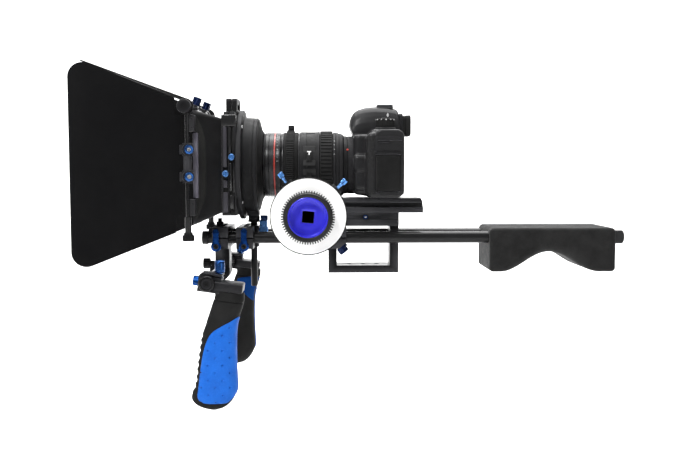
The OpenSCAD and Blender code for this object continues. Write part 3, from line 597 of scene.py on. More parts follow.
def grooved(bm):
    """Bevels the rear end of the plate: the upper half is raked forward, the lower half keeps its length."""
    for v in bm.verts:
        if v.co.x > 60 and v.co.z > 89:
            v.co.x -= 0.42 * (v.co.z - 89)


from_cad("camera_plate", "camera_plate_slide", "black_ano", "camera", 0.45, 3,
         edit=grooved)
# lighter grey strips on the lips of the side grooves: painted highlights of the groove edges
bm = bmesh.new()
for s in (-1, 1):
    for z0, z1 in ((84.0, 84.5), (90.5, 90.95)):
        flank(bm, s, 34, 75.2, 24.2, 25.0, z0, z1, 0.12, 2)
obj_from(bm, "camera_plate_painted_highlight_lips", "grey_ano", "camera")

bm = bmesh.new()
for y in (-ROD_Y, ROD_Y):
    d = (math.sin(math.radians(142)), 0, math.cos(math.radians(142)))
    fluted(bm, (-29.6 + 0.2 * d[0], y, 34.8 + 0.2 * d[2]), d, 6.4, 9.0, 9, 1.1, 1.2)
    pin(bm, -2, 0.3, 3.0, at=(-29.6, y, 34.8), turn=heading(d))
obj_from(bm, "riser_thumb_screw_heads", "blue_navy", "frame", ("riser_thumb_screws",))

bm = bmesh.new()
fluted(bm, (2.3, -25.2, 72), (0, -1, 0), 3.0, 4.3, 10, 0.4)
pin(bm, 12, 25.2, 2.4, "-y", (2.3, 0, 72))
obj_from(bm, "plate_lock_screw_head", "blue_navy", "plate_screw", ("plate_lock_screw",))
bm = bmesh.new()
block(bm, 1.0, 3.6, -29.66, -29.3, 71.3, 72.7, 0.1, 1)
obj_from(bm, "plate_lock_screw_slot", "steel", "plate_screw")

# small cap screws that close the riser clamps, on the near and far side
bm = bmesh.new()
for s in (-1, 1):
    for x in (-38.5, -27.3):
        socket_cap(bm, (x, s * 42, 57.5), (0, s, 0), 2.6, 0.9, 1.3)
obj_from(bm, "riser_clamp_screws", "black_soft", "frame")


# ---------------------------------------------------------------- levers
def lever_y(name, x, z, top, y):
    """Clamp lever that turns about Y: a round eye, a straight arm and a rounded tip."""
    bm = bmesh.new()
    outline = []
    r, w, cap = 6.3, 4.0, 4.0
    a0 = math.degrees(math.asin(w / r))
    for i in range(25):
        a = math.radians(90 + a0 + (360 - 2 * a0) * i / 24)
        outline.append((x + r * math.cos(a), z + r * math.sin(a)))
    outline += [(x + 3.4, z + 11), (x + 3.4, top - 6.5)]
    for i in range(9):
        a = math.radians(180 * i / 8)
        outline.append((x + cap * math.cos(a), top - cap + cap * math.sin(a)))
    outline += [(x - 3.4, top - 6.5), (x - 3.4, z + 11)]
    prism(bm, outline, "y", y, y + 4.2)
    pin(bm, y + 4.2, y + 9.4, 2.2, "y", (x, 0, z))
    obj_from(bm, name + "_arm", "blue_deep", name, (name,), 0.7, 3)
    bm = bmesh.new()
    socket_cap(bm, (x, y, z), (0, -1, 0), 3.4, 1.2, 1.5)
    obj_from(bm, name + "_screw", "black_soft", name)


lever_y("bracket_lever", -184.7, 36.4, 58.6, -48.5)
lever_y("matte_lever", -150, 36.4, 59, -48.5)

bm = bmesh.new()
prism(bm, rounded(4.3, 8.2, 1.6, 4, 0, 58.6), "x", -133.8, -124.0)
solid(bm, [(-124.0, 3.6), (-123.4, 3.6), (-123.0, 3.2)], "x", (0, 0, 55), 40)
pin(bm, -136.4, -133.8, 2.2, "x", (0, 0, 55))
obj_from(bm, "post_lock_arm", "blue_light", "post_lever", ("post_lock_lever",), 0.6, 3)
bm = bmesh.new()
prism(bm, rounded(4.8, 3.4, 1.4, 4, 0, 69.8), "x", -132.4, -123.2)
obj_from(bm, "post_lock_tip", "blue_navy", "post_lever", bevel=0.5, segs=2)

# ------------------------------------------- clamps under the matte box
from_cad("handle_bracket", "handle_bracket_web", "black_ano", "handle_unit", 0.7)
from_cad("matte_clamp", "matte_clamp_block", "black_ano", "matte_foot", 0.7)
for x, body, name in ((-180, "handle_unit", "bracket"), (-149.5, "matte_foot", "matte_clamp")):
    bm = bmesh.new()
    for s in (-1, 1):
        for y in (22, 8):
            socket_cap(bm, (x, s * y, 60), (0, 0, 1), 2.8, 1.4, 1.4)
    obj_from(bm, name + "_top_screws", "black_soft", body)

bm = bmesh.new()
lathe(bm, [(-142, 8.2), (-141.5, 9.0), (-140.8, 9.3), (-136.8, 9.3), (-136, 8.6), (-135.6, 7.5),
           (135.6, 7.5), (136, 8.6), (136.8, 9.3),
           (140.8, 9.3), (141.5, 9.0), (142, 8.2), (142, 6.9), (140.2, 6.6), (140.2, 4.5), (-140.2,
                   4.5), (-140.2, 6.6), (-142, 6.9)], "y", (ARM_X, 0, ARM_Z), 96)
obj_from(bm, "cross_arm_tube", "rod", "handle_unit", ("cross_arm",))
bm = bmesh.new()
for s in (-1, 1):
    socket_cap(bm, (ARM_X, s * 140.0, ARM_Z), (0, s, 0), 6.2, 0.9, 2.6)
obj_from(bm, "cross_arm_end_screws", "black_soft", "handle_unit")

bm = bmesh.new()
fluted(bm, (-197.8, 0, 10.75), (-1, 0, 0), 6.75, 9.2, 14, 0.8, 1.0)
pin(bm, -197.8, -192.5, 3.5, "x", (0, 0, 10.75))
obj_from(bm, "arm_lock_knob_fluted", "black_soft", "arm_knob", ("arm_lock_knob",))

# --------------------------------------------------------------- handles
FRONT = [(-15.5, -176.5), (-34, -181.5), (-48, -186), (-61, -190.5), (-79, -193.6), (-97, -196),
         (-110, -197.3), (-119, -199.2),
         (-128, -202.6), (-135, -202.3), (-141, -197), (-145, -188), (GRIP_FOOT, -180)]
REAR = [(-15.5, -142.5), (-22.5, -143.3), (-33.6, -145.6), (-47.7, -148.8), (-69, -150), (-97, -149.6),
        (-118, -148.6), (-124, -149.4),
        (-133, -153.4), (-140, -159), (-144.5, -165.5), (GRIP_FOOT, -173)]
EDGE = [(-36.8, -146.5), (-40, -152), (-43.8, -158.5), (-49.2, -169), (-54.8, -177), (-64.3, -182.8),
        (-78.2, -187.2), (-93.6, -190),
        (-110, -192.2), (-121.4, -193.6), (-128.5, -194.4), (-133.5, -192.4), (-136.6, -187), (-138.2,
                -178)]
WIDTH = [(-15.5, 14.2), (-40, 14.6), (-70, 16.0), (-110, 16.6), (-130, 16.0), (-138, 14.2), (-143, 11.5),
         (GRIP_FOOT, 7.5)]


def along(table, z):
    """Smooth value of a (height, value) table, top to bottom."""
    if z >= table[0][0]:
        return table[0][1]
    if z <= table[-1][0]:
        return table[-1][1]
    for i in range(len(table) - 1):
        (z0, v0), (z1, v1) = table[i], table[i + 1]
        if z1 <= z <= z0:
            t = (z0 - z) / (z0 - z1)
            za, va = table[max(i - 1, 0)]
            zb, vb = table[min(i + 2, len(table) - 1)]
            m0 = (v1 - va) / (za - z1) * (z0 - z1) if za != z1 else 0
            m1 = (vb - v0) / (z0 - zb) * (z0 - z1) if z0 != zb else 0
            return ((2 * t ** 3 - 3 * t * t + 1) * v0 + (t ** 3 - 2 * t * t + t) * m0
                    + (3 * t * t - 2 * t ** 3) * v1 + (t ** 3 - t * t) * m1)
    return table[-1][1]


def grip_point(z, a, grow=0.0):
    """Point on the grip skin at height z and angle a, where 0 is the rear and pi the front."""
    f, r, w = along(FRONT, z), along(REAR, z), along(WIDTH, z)
    c, s = math.cos(a), math.sin(a)
    e = 2 / 2.7
    half = (r - f) / 2 + grow
    x = (f + r) / 2 + half * math.copysign(abs(c) ** e, c)
    y = (w + grow) * math.copysign(abs(s) ** e, s)
    if c < -0.5 and -131 < z < -54:
        bite = min(1.0, (-54 - z) / 8, (z + 131) / 8)
        x += bite * 1.2 * (0.5 + 0.5 * math.cos(TAU * z / 8.6)) * min(1.0, (-c - 0.5) / 0.3)
    return x, y, z


def grip_angle(z, xb):
    """Angle where the grip skin passes the front limit xb at height z."""
    lo, hi = 0.02, math.pi - 0.02
    for _ in range(30):
        mid = (lo + hi) / 2
        if grip_point(z, mid)[0] > xb:
            lo = mid
        else:
            hi = mid
    return lo


LEAN = math.radians(8)
TILT = math.tan(LEAN)


def tilted(x, y, z):
    """Upper rows of the grip lean with the plate above them."""
    w = max(0.0, min(1.0, (z + 48) / 36))
    back = 2.0 * max(0.0, min(1.0, (-16 - z) / 24))
    low = 1.0 + 0.0052 * max(0.0, min(1.0, (-30 - z) / 60))
    return x - back, y, z * low - TILT * (x + 160) * w * w * (3 - 2 * w)


def make_mount(side, s):
    """Clamp block with its saw cut and the plate that carries the grip."""
    body = side + "_handle"
    oy = s * HAND_Y
    lean = Matrix.Rotation(LEAN, 3, "Y")
    bm = bmesh.new()
    outline = ((-10.5, -10.5), (16, -10.5), (16, 7.9), (1.2, 7.9), (1.2, 9.3), (16, 9.3), (16, 11.5),
               (-7.5, 11.5), (-10.5, 8.5))
    at = Vector((ARM_X, oy, ARM_Z))
    n = 56
    hole = [(7.6 * math.cos(TAU * i / n), 7.6 * math.sin(TAU * i / n)) for i in range(n)]
    ends = (-MOUNT_HALF, MOUNT_HALF)
    vo = [[bm.verts.new(at + lean @ Vector((p[0], y, p[1]))) for p in outline] for y in ends]
    vh = [[bm.verts.new(at + lean @ Vector((p[0], y, p[1]))) for p in hole] for y in ends]
    wall(bm, vo[0], vo[1])
    wall(bm, vh[0], vh[1])
    for outer, inner in zip(vo, vh):
        edges = [bm.edges.get((a, b)) for a, b in zip(outer, outer[1:] + outer[:1])]
        edges += [bm.edges.get((a, b)) for a, b in zip(inner, inner[1:] + inner[:1])]
        bmesh.ops.triangle_fill(bm, use_beauty=True, use_dissolve=True, edges=edges)
    block(bm, 0.2, 33.5, -15, 15, -10.5, 0, 1.6, 3, lean, (-176, oy, 4.5))
    obj_from(bm, side + "_mount_block", "black_soft", body, (side + "_handle_mount",), 0.5,
             2)
    bm = bmesh.new()
    block(bm, 3.0, 31.5, -13.0, 13.0, -11.6, -10.2, 0.4, 2, lean, (-176, oy, 4.5))
    obj_from(bm, side + "_mount_gasket", "rubber", body)


def make_handle(side, s):
    """One grip with its blue wrap, thumb rest, screw and knob."""
    body = side + "_handle"
    oy = s * HAND_Y
    make_mount(side, s)
    bm = bmesh.new()
    rows = []
    cols = 96
    zs = [-8.6, -8.7, -9.2] + [-9.8 - 0.7 * i for i in range(13)]
    zs += [-18.9, -19.2, -19.6, -20.0, -20.4, -20.7]
    zs += [-21.4 - 125.0 * i / 150 for i in range(151)]
    for k, z in enumerate(zs):
        g = -0.5 if k == 0 else (-0.1 if k == 1 else 0.0)
        if -20.3 < z < -19.1:
            g = -1.1
        elif -20.8 < z < -18.8:
            g = -0.25
        rows.append([Vector(tilted(*grip_point(z, TAU * i / cols, g))) + Vector((0, oy, 0))
                     for i in range(cols)])
    f, r = along(FRONT, GRIP_FOOT), along(REAR, GRIP_FOOT)
    base = [Vector(tilted(*grip_point(GRIP_FOOT, TAU * i / cols))) for i in range(cols)]
    for shrink in (0.85, 0.6, 0.3):
        mid = Vector(((f + r) / 2 - 2.0, 0, -147.16 - 0.1 * (1 - shrink)))
        rows.append([mid + (p - mid) * shrink + Vector((0, oy, 0)) for p in base])
    loft(bm, rows)
    obj_from(bm, side + "_grip_core", "rubber", body, (side + "_grip",), angle=50)
    dots = []
    for row in range(11):
        z = -49.5 - 8.6 * row
        for col in range(4):
            dots.append((-190 + 16.5 * col + (8.25 if row % 2 else 0), z))

    def dimple(x, z):
        d = min(math.hypot(x - a, z - b) for a, b in dots)
        return 1.25 * (1 - min(1.0, d / 1.9) ** 2) ** 2 if d < 1.9 else 0.0
    # blue rubber on the outer side and round the back
    bm = bmesh.new()
    rows = []
    count = 250
    wrap_top, wrap_foot = -37.2, -138.0
    zs = [wrap_top + (wrap_foot - wrap_top) * i / count for i in range(count + 1)]
    span = 130
    prof = [(0, -0.4), (0.008, 0.5), (0.018, 0.85), (0.032, 1.05)]
    prof += [(0.032 + 0.936 * k / span, 1.1) for k in range(1, span)]
    prof += [(0.968, 1.05), (0.982, 0.85), (0.992, 0.5), (1.0, -0.4)]
    for k, z in enumerate(zs):
        a1 = grip_angle(z, along(EDGE, z))
        foot = min(1.0, max(0.0, (-122 - z) / 16.0))
        a0 = 0.10 + 0.72 * foot ** 1.5
        lift = math.sin(min(1.0, k / 5.0, (count - k) / 5.0) * math.pi / 2)
        row = []
        for t, g in prof:
            a = a0 + (a1 - a0) * t
            x, y, zz = grip_point(z, a, 0.0)
            push = -0.4 + (g + 0.4) * lift
            push -= dimple(x, z) if y > 8 else 0.0
            x, y, zz = tilted(*grip_point(z, a, push))
            row.append(Vector((x, s * y + oy, zz)))
        rows.append(row)
    loft(bm, rows, False, False)
    obj_from(bm, side + "_grip_blue_wrap", "grip_blue", body, (side + "_grip_rubber",),
             angle=60)
    # blue thumb rest high on the inner side
    bm = bmesh.new()
    rows = []
    for k in range(41):
        z = -19.5 - 36.5 * k / 40
        lim = -174.4 if z > -33 else -174.4 + (-33 - z) * 1.02
        if z > -26:
            lim += (z + 26) ** 2 * 0.5
        a1 = grip_angle(z, min(lim, along(REAR, z) - 1.5))
        lift = math.sin(min(1.0, k / 3.0, (40 - k) / 3.0) * math.pi / 2)
        row = []
        for i in range(31):
            t = i / 30
            g = 1.1 * math.sin(min(1.0, t * 9, (1 - t) * 9) * math.pi / 2)
            x, y, zz = tilted(*grip_point(z, 0.42 + (a1 - 0.42) * t, -0.4 + (g + 0.4) * lift))
            row.append(Vector((x, -s * y + oy, zz)))
        rows.append(row)
    loft(bm, rows, False, False)
    obj_from(bm, side + "_grip_thumb_rest", "grip_navy", body, angle=60)
    # front screw
    d = (-math.cos(LEAN), 0, math.sin(LEAN))
    bm = bmesh.new()
    fluted(bm, (-195.5 + 0.55 * -d[0], oy, 3.3 - 0.55 * d[2]), d, 6.0, 6.9, 9, 1.0, 0.9)
    pin(bm, -2.4, 0.2, 2.8, at=(-195.5, oy, 3.3), turn=heading(d))
    obj_from(bm, side + "_front_screw_head", "blue_ano", side + "_screw", (side + "_handle_screw",))
    # upright knob
    bm = bmesh.new()
    solid(bm, [(12.85, 4.6), (13.0, 5.3), (13.4, 5.3), (13.6, 5.0), (14.0, 5.4), (14.4, 5.8), (24.4, 5.8),
               (25.0, 5.5), (25.2, 5.1), (25.6, 5.1), (25.9, 5.6),
               (26.7, 5.6), (27.2, 5.1), (27.2, 2.4), (26.6, 2.2)], "z", (-170.8, oy, 0), 144, flutes(10,
                       0.3, 14.6, 24.2, 2.0))
    pin(bm, -3, 13, 2.8, "z", (-170.8, oy, 0))
    obj_from(bm, side + "_upright_knob_head", "blue_ano", side + "_knob", (side + "_handle_knob",))


make_handle("left", -1)
make_handle("right", 1)


# ---------------------------------------------------------- shoulder pad
def make_pad():
    """The foam outline is stacked across the width; each layer shrinks near the side faces."""
    low, top, arch = 3.2, 58.8, 24.8
    pts = []
    for i in range(7):
        a = math.radians(180 - 90 * i / 6)
        pts.append((164.4 + 6 * math.cos(a), top - 6 + 6 * math.sin(a), 4.6))
    for i in range(1, 16):
        pts.append((164.4 + (312.5 - 164.4) * i / 16, top, 4.6))
    for i in range(7):
        a = math.radians(90 - 90 * i / 6)
        pts.append((312.5 + 6 * math.cos(a), top - 6 + 6 * math.sin(a), 4.6))
    for i in range(1, 6):
        pts.append((318.5, top - 6 - (top - 6 - low - 5) * i / 6, 4.6))
    for i in range(7):
        a = math.radians(-90 * i / 6)
        pts.append((313.5 + 5 * math.cos(a), low + 5 + 5 * math.sin(a), 4.5))
    for i in range(1, 5):
        pts.append((313.5 - 13 * i / 4, low, 4.6))
    n = 64
    for i in range(1, n):
        x = 298 - 125 * i / n
        z = low + arch * (0.5 - 0.5 * math.cos(TAU * i / n))
        pts.append((x, z, 4.6 + 8.4 * math.sin(math.pi * i / n) ** 0.9))
    for i in range(3):
        pts.append((173 - 8 * i / 3, low, 4.6))
    for i in range(7):
        a = math.radians(270 - 90 * i / 6)
        pts.append((163.4 + 5 * math.cos(a), low + 5 + 5 * math.sin(a), 4.5))
    for i in range(1, 6):
        pts.append((158.4, low + 5 + (top - 6 - low - 5) * i / 6, 4.6))
    count = len(pts)
    normals = []
    for i in range(count):
        ax, az, _ = pts[i - 1]
        bx, bz, _ = pts[(i + 1) % count]
        tx, tz = bx - ax, bz - az
        ln = math.hypot(tx, tz) or 1.0
        normals.append((-tz / ln, tx / ln))
    # the outline runs clockwise seen from -Y, so its inward normal is to the right
    def layer(y):
        ring = []
        for (x, z, r), (nx, nz) in zip(pts, normals):
            over = max(0.0, abs(y) - (45 - r))
            d = r - math.sqrt(max(0.0, r * r - over * over))
            ring.append(Vector((x - nx * d, y, z - nz * d)))
        return ring
    ys = [-45 + 13 * (1 - math.cos(math.pi / 2 * i / 12)) for i in range(13)]
    ys += [-32 + 64 * i / 14 for i in range(1, 14)]
    ys += [-y for y in reversed(ys[:13])]
    bm = bmesh.new()
    loft(bm, [layer(y) for y in ys])
    caps = [f for f in bm.faces if len(f.verts) > 4]
    bmesh.ops.triangulate(bm, faces=caps, quad_method="BEAUTY", ngon_method="BEAUTY")
    return obj_from(bm, "shoulder_pad_foam", "foam", "pad", ("pad_foam",), angle=60)


make_pad()
from_cad("pad_core", "pad_core_block", "black_soft", "pad", 0.4)


# ---------------------------------------------------------- follow focus
from_cad("focus_body", "focus_gearbox", "black_ano", "focus_unit", 0.6)
bm = bmesh.new()
for a in (44, 124):
    d = (math.cos(math.radians(a)), 0, math.sin(math.radians(a)))
    turn = heading(d)
    base = Vector((WX, -106, WZ))
    pin(bm, 40, 54.5, 1.6, at=base, turn=turn, n=32)
    fluted(bm, base + Vector(d) * 54.6, d, 3.4, 6.0, 8, 0.5, 0.8)
    solid(bm, [(50.5, 1.7), (51, 1.9), (53.6, 2.1), (54.1, 2.1)], at=base, turn=turn, n=32)
obj_from(bm, "hard_stop_screw_heads", "blue_light", "focus_unit", ("hard_stop_screws",))

# white disc with a raised rim and a fine groove; its material glows faintly, painted light that lifts the
# ring's shade
bm = bmesh.new()
lathe(bm, [(121, 9.0), (121, 41.9), (121.25, 42.2), (121.25, 43.6), (121.1, 43.9), (120.7, 43.9),
           (117.9, 43.9), (117.5, 43.7), (117.5, 9.0)],
      "-y", (WX, 0, WZ), 192)
obj_from(bm, "marking_disc_white", "white", "wheel", ("marking_disc",))
bm = bmesh.new()
lathe(bm, [(121.1, 43.92), (121.2, 44.1), (121.2, 45.0), (120.9, 45.25), (118.0, 45.3), (117.7, 45.15),
           (117.7, 43.92)], "-y", (WX, 0, WZ), 192)
obj_from(bm, "marking_disc_rim", "rubber", "wheel")

# ribbed ring of the wheel
bm = bmesh.new()
WHEEL_RIBS = 63


def ribs(k, a, h, r):
    """Deep straight ribs around the front of the ring."""
    if r < 30.4 or not (134.0 < h < 148.5):
        return r
    return r - (2.5 if (WHEEL_RIBS * a / TAU) % 1.0 > 0.42 else 0.0)


prof = [(121, 27.6), (121.5, 28.3), (122.0, 28.5), (139.6, 28.5), (139.7, 30.7)]
prof += [(139.7 + 8.1 * i / 3, 30.7) for i in range(1, 4)]
prof += [(148.0, 30.6), (148.1, 28.2), (149.2, 27.4), (149.8, 27.0), (150.0, 26.2), (150.0, 24.4),
         (149.6, 23.5), (148.8, 23.0), (121, 23.0)]
lathe(bm, prof, "-y", (WX, 0, WZ), 1008, ribs)
obj_from(bm, "wheel_ring_ribbed", "knurl", "wheel", ("wheel_knob",), angle=40)


# dished hub with a square socket
def make_hub():
    n = 160
    bm = bmesh.new()
    turn = AX["-y"]
    at = Vector((WX, 0, WZ))
    rows = []
    for h, r in ((115.5, 5.05), (115.5, 8.6), (115.9, 9.0), (120.9, 9.0), (121.05, 9.4), (121.05, 22.4),
                 (121.4, 23.0), (148.6, 23.0),
                 (149.2, 22.8), (149.4, 22.4), (149.3, 22.0), (148.9, 21.8), (143, 21.5), (138.0,
                        21.2), (137.3, 20.9), (137.02, 20.3)):
        rows.append([at + turn @ Vector((r * math.cos(TAU * i / n), r * math.sin(TAU * i / n), h))
                     for i in range(n)])
    # rings that turn from the round dish floor into the square socket
    spin = math.radians(-5)
    for blend, size, h in ((0.25, 14.2, 137.0), (0.6, 10.8, 137.0), (1.0, 7.35, 137.0), (1.0, 6.95, 136.8),
                           (1.0, 6.8, 136.3), (1.0, 6.8, 127.6), (1.0, 6.4, 127.3)):
        row = []
        for i in range(n):
            a = TAU * i / n
            c, s = math.cos(a - spin), math.sin(a - spin)
            sq = size / max(abs(c), abs(s))
            sq = min(sq, size * 1.34)
            rad = size * (1 - blend) + sq * blend
            row.append(at + turn @ Vector((rad * math.cos(a), rad * math.sin(a), h)))
        rows.append(row)
    loft(bm, rows, True, False)
    bm.verts.ensure_lookup_table()
    bm.faces.new([bm.verts[i] for i in range(len(bm.verts) - n, len(bm.verts))])
    floor = [at + turn @ Vector((5.05 * math.cos(TAU * i / n), 5.05 * math.sin(TAU * i / n), 126.2))
             for i in range(n)]
    first = [bm.verts[i] for i in range(n)]
    inner = [bm.verts.new(p) for p in floor]
    wall(bm, first, inner)
    bm.faces.new(inner)
    obj_from(bm, "wheel_hub_dished", "wheel_blue", "wheel", ("wheel_hub",), angle=30)


make_hub()
# dark lining of the square socket
bm = bmesh.new()
b = bmesh.new()
outer, inner = rounded(6.78, 6.78, 0.6, 3), rounded(6.4, 6.4, 0.5, 3)
ro, ri, rd, re = [[b.verts.new((p[0], y, p[1])) for p in pts]
                  for pts, y in ((outer, -136.2), (inner, -136.2), (inner, -127.9), (outer, -127.9))]
wall(b, ro, ri)
wall(b, ri, rd)
wall(b, re, ro)
b.faces.new(rd)
b.faces.new(list(reversed(re)))
bmesh.ops.rotate(b, cent=(0, 0, 0), matrix=Matrix.Rotation(math.radians(5), 3, "Y"), verts=b.verts)
bmesh.ops.translate(b, vec=(WX, 0, WZ), verts=b.verts)
merge(bm, b)
obj_from(bm, "wheel_socket_lining", "rubber", "wheel")

for node, mat in (("wheel_shaft", "steel"), ("drive_gear", "grey_ano"), ("focus_bearings", "steel")):
    body = {"wheel_shaft": "wheel", "drive_gear": "drive", "focus_bearings": "focus_unit"}[node]
    from_cad(node, node + "_turned", mat, body, 0.12, 1)


# ------------------------------------------------------------ matte box
def frustum_ring(x, hw, z0, z1, r):
    return [Vector((x, p[0], p[1])) for p in rounded(hw, (z1 - z0) / 2, r, 6, 0, (z0 + z1) / 2)]


def make_hood():
    """Sheet funnel with a flat rim band at the front and a curved step where the taper starts."""
    bm = bmesh.new()
    rows = []
    def at(x, out=0.0):
        t = (x + 206) / 31.0
        return frustum_ring(x, 88 - 28 * t + out, 66 + 13.5 * t - out, 203.5 - 8.7 * t + out, 7.0 - 3 * t)
    rows.append(at(-204.8, -4.6))
    rows.append(at(-206.0, -3.6))
    rows.append(at(-206.0, -0.5))
    rows.append(at(-205.5, 0.0))
    for i in range(1, 10):
        x = -205.5 + 30.3 * i / 9
        rows.append(at(x, -0.12))
    rows.append(at(-175.0, -0.4))
    for i in range(8):
        rows.append(at(-175.4 - 29 * i / 7, -2.5 if i < 7 else -3.4))
    vr = loft(bm, rows, True, False)
    wall(bm, vr[-1], vr[0])
    obj_from(bm, "hood_funnel", "plastic", "matte_box", ("hood",), angle=28)
    # paler side skirts with a bowed rear edge
    bm = bmesh.new()
    for s in (-1, 1):
        grid = []
        rows_n, cols_n = 40, 10
        for i in range(rows_n + 1):
            v = i / rows_n
            bow = 10.5 * (1 - (2 * v - 1) ** 4)
            row = []
            for k in range(cols_n + 1):
                u = k / cols_n
                x = -204.9 + u * (3.0 + bow)
                t = (x + 206) / 31.0
                y = 88 - 28 * t
                lo, hi = 66 + 13.5 * t + 6.0, 203.5 - 8.7 * t - 6.0
                z = lo + (hi - lo) * v
                lift = 0.75 if 0 < k < cols_n and 0 < i < rows_n else -0.3
                row.append(Vector((x, s * (y + lift), z)))
            grid.append(row)
        loft(bm, grid, False, False)
    obj_from(bm, "hood_side_skirts", "plastic_soft", "matte_box", angle=40)
    # rear plate with the window
    bm = bmesh.new()
    o = rounded(57.4, 55.0, 4, 6, 0, 137.2)
    w = rounded(45, 45, 3, 6, 0, 138)
    window(bm, "x", ((o, -177.0), (w, -177.0), (w, -175.0), (o, -175.0)))
    obj_from(bm, "hood_rear_plate", "plastic", "matte_box", bevel=0.3)
    # metal strips along both sides of the rim and the hinge stand-offs
    bm = bmesh.new()
    for s in (-1, 1):
        flank(bm, s, -205.2, -199.8, 82.0, 90.3, 98.4, 175.8, 0.5, 2)
    obj_from(bm, "hood_side_strips", "strip", "matte_box")


make_hood()
bm = bmesh.new()
for s in (-1, 1):
    for z in (77.6, 176.5):
        flank(bm, s, -209.6, -201.6, 87.0, 103.0, z + 0.3, z + 19.7, 0.7, 3)
        for k in (5, 15):
            socket_cap(bm, (-204.6, s * 102.9, z + k), (0, s, 0), 1.5, 0.5, 0.7)
    flank(bm, s, -211.8, -201.2, 70.2, 81.8, 203.6, 206.0, 0.5, 2)
    lathe(bm, [(s * 76 - 6, 3.85), (s * 76 - 6, 5.8), (s * 76 - 5.6, 6.2), (s * 76 + 5.6, 6.2),
               (s * 76 + 6, 5.8), (s * 76 + 6, 3.85)], "y", TOP_HINGE, 64)
obj_from(bm, "hinge_bracket_lugs", "plastic", "matte_box", ("hinge_brackets",))

bm = bmesh.new()
for s in (-1, 1):
    solid(bm, [(54.6, 3.8), (76.4, 3.8), (76.8, 2.4), (116.4, 2.4), (116.6, 3.8), (163.0, 3.8),
               (163.2, 2.4), (198.4, 2.4), (198.8, 2.0)],
          "z", (SIDE_HINGE_X, s * SIDE_HINGE_Y, 0), 48)
obj_from(bm, "side_hinge_rods", "gloss_black", "matte_box", ("flag_hinge_rods",))
bm = bmesh.new()
for s in (-1, 1):
    solid(bm, [(48, 6.4), (48.5, 7.1), (49, 7.25), (54.2, 7.25), (54.8, 6.9), (55.2, 5.4), (58.0, 5.0),
               (58.2, 3.9)], "z", (SIDE_HINGE_X, s * SIDE_HINGE_Y, 0), 96,
          flutes(20, 0.3, 48.9, 54.3))
pin(bm, -98.5, 98.5, 3.8, "y", TOP_HINGE)
obj_from(bm, "cross_rod_and_feet", "rod", "matte_box")
bm = bmesh.new()
for s in (-1, 1):
    solid(bm, [(98.2, 4.6), (98.3, 9.4), (98.5, 9.9), (99.3, 9.9), (99.6, 9.4), (99.8, 8.3), (108.8, 8.3),
               (109.6, 7.9), (110, 7.0), (110, 2.0), (109.7, 1.0)],
          "y" if s > 0 else "-y", TOP_HINGE, 144, flutes(30, 0.35, 99.5, 108.9))
obj_from(bm, "cross_rod_knobs", "black_soft", "matte_box")

# rubber bellows between the matte box and the lens
bm = bmesh.new()
lathe(bm, [(-133.5, 58.0), (-132.9, 58.0), (-132.3, 56.2), (-131.9, 53.6), (-131.1, 51.8), (-130.6, 49.0),
           (-129.9, 47.4), (-129.3, 45.0), (-128.5, 43.6),
           (-127.4, 42.2), (-127.0, 41.4), (-127.2, 40.4), (-127.9, 40.4), (-129.2, 43.0), (-131.0,
                   47.0), (-132.6, 52.0), (-133.5, 54.0)], "x", (0, 0, LZ), 144)
obj_from(bm, "lens_donut_bellows", "rubber", "matte_box", ("lens_donut",))

# round rear housing
bm = bmesh.new()
lathe(bm, [(-157.4, 50.0), (-157.4, 68.8), (-156.8, 69.5), (-152.3, 69.5), (-151.7, 68.9), (-151.5, 66.8),
           (-150.9, 62.4), (-150.2, 60.9), (-149.0, 60.3),
           (-138.8, 60.0), (-138.2, 59.6), (-137.6, 60.0), (-135.4, 60.0), (-134.2, 59.4), (-133.5,
                   58.2), (-133.5, 50.6), (-134.0, 50.0)], "x", (0, 0, LZ), 180)
block(bm, -149.5, -134, -10, 10, 72.5, 79.0, 0.8, 2)
obj_from(bm, "matte_housing_turned", "plastic", "matte_box", ("matte_housing",), angle=30)
bm = bmesh.new()
for i in range(4):
    a = math.radians(45 + 90 * i)
    socket_cap(bm, (-157.4, 64.6 * math.cos(a), 138 + 64.6 * math.sin(a)), (-1, 0, 0), 2.4, 1.0, 1.2)
    socket_cap(bm, (-151.6, 65.4 * math.cos(a), 138 + 65.4 * math.sin(a)), (1, 0, 0), 2.2, 1.0, 1.1)
obj_from(bm, "matte_housing_screws", "steel", "matte_box")


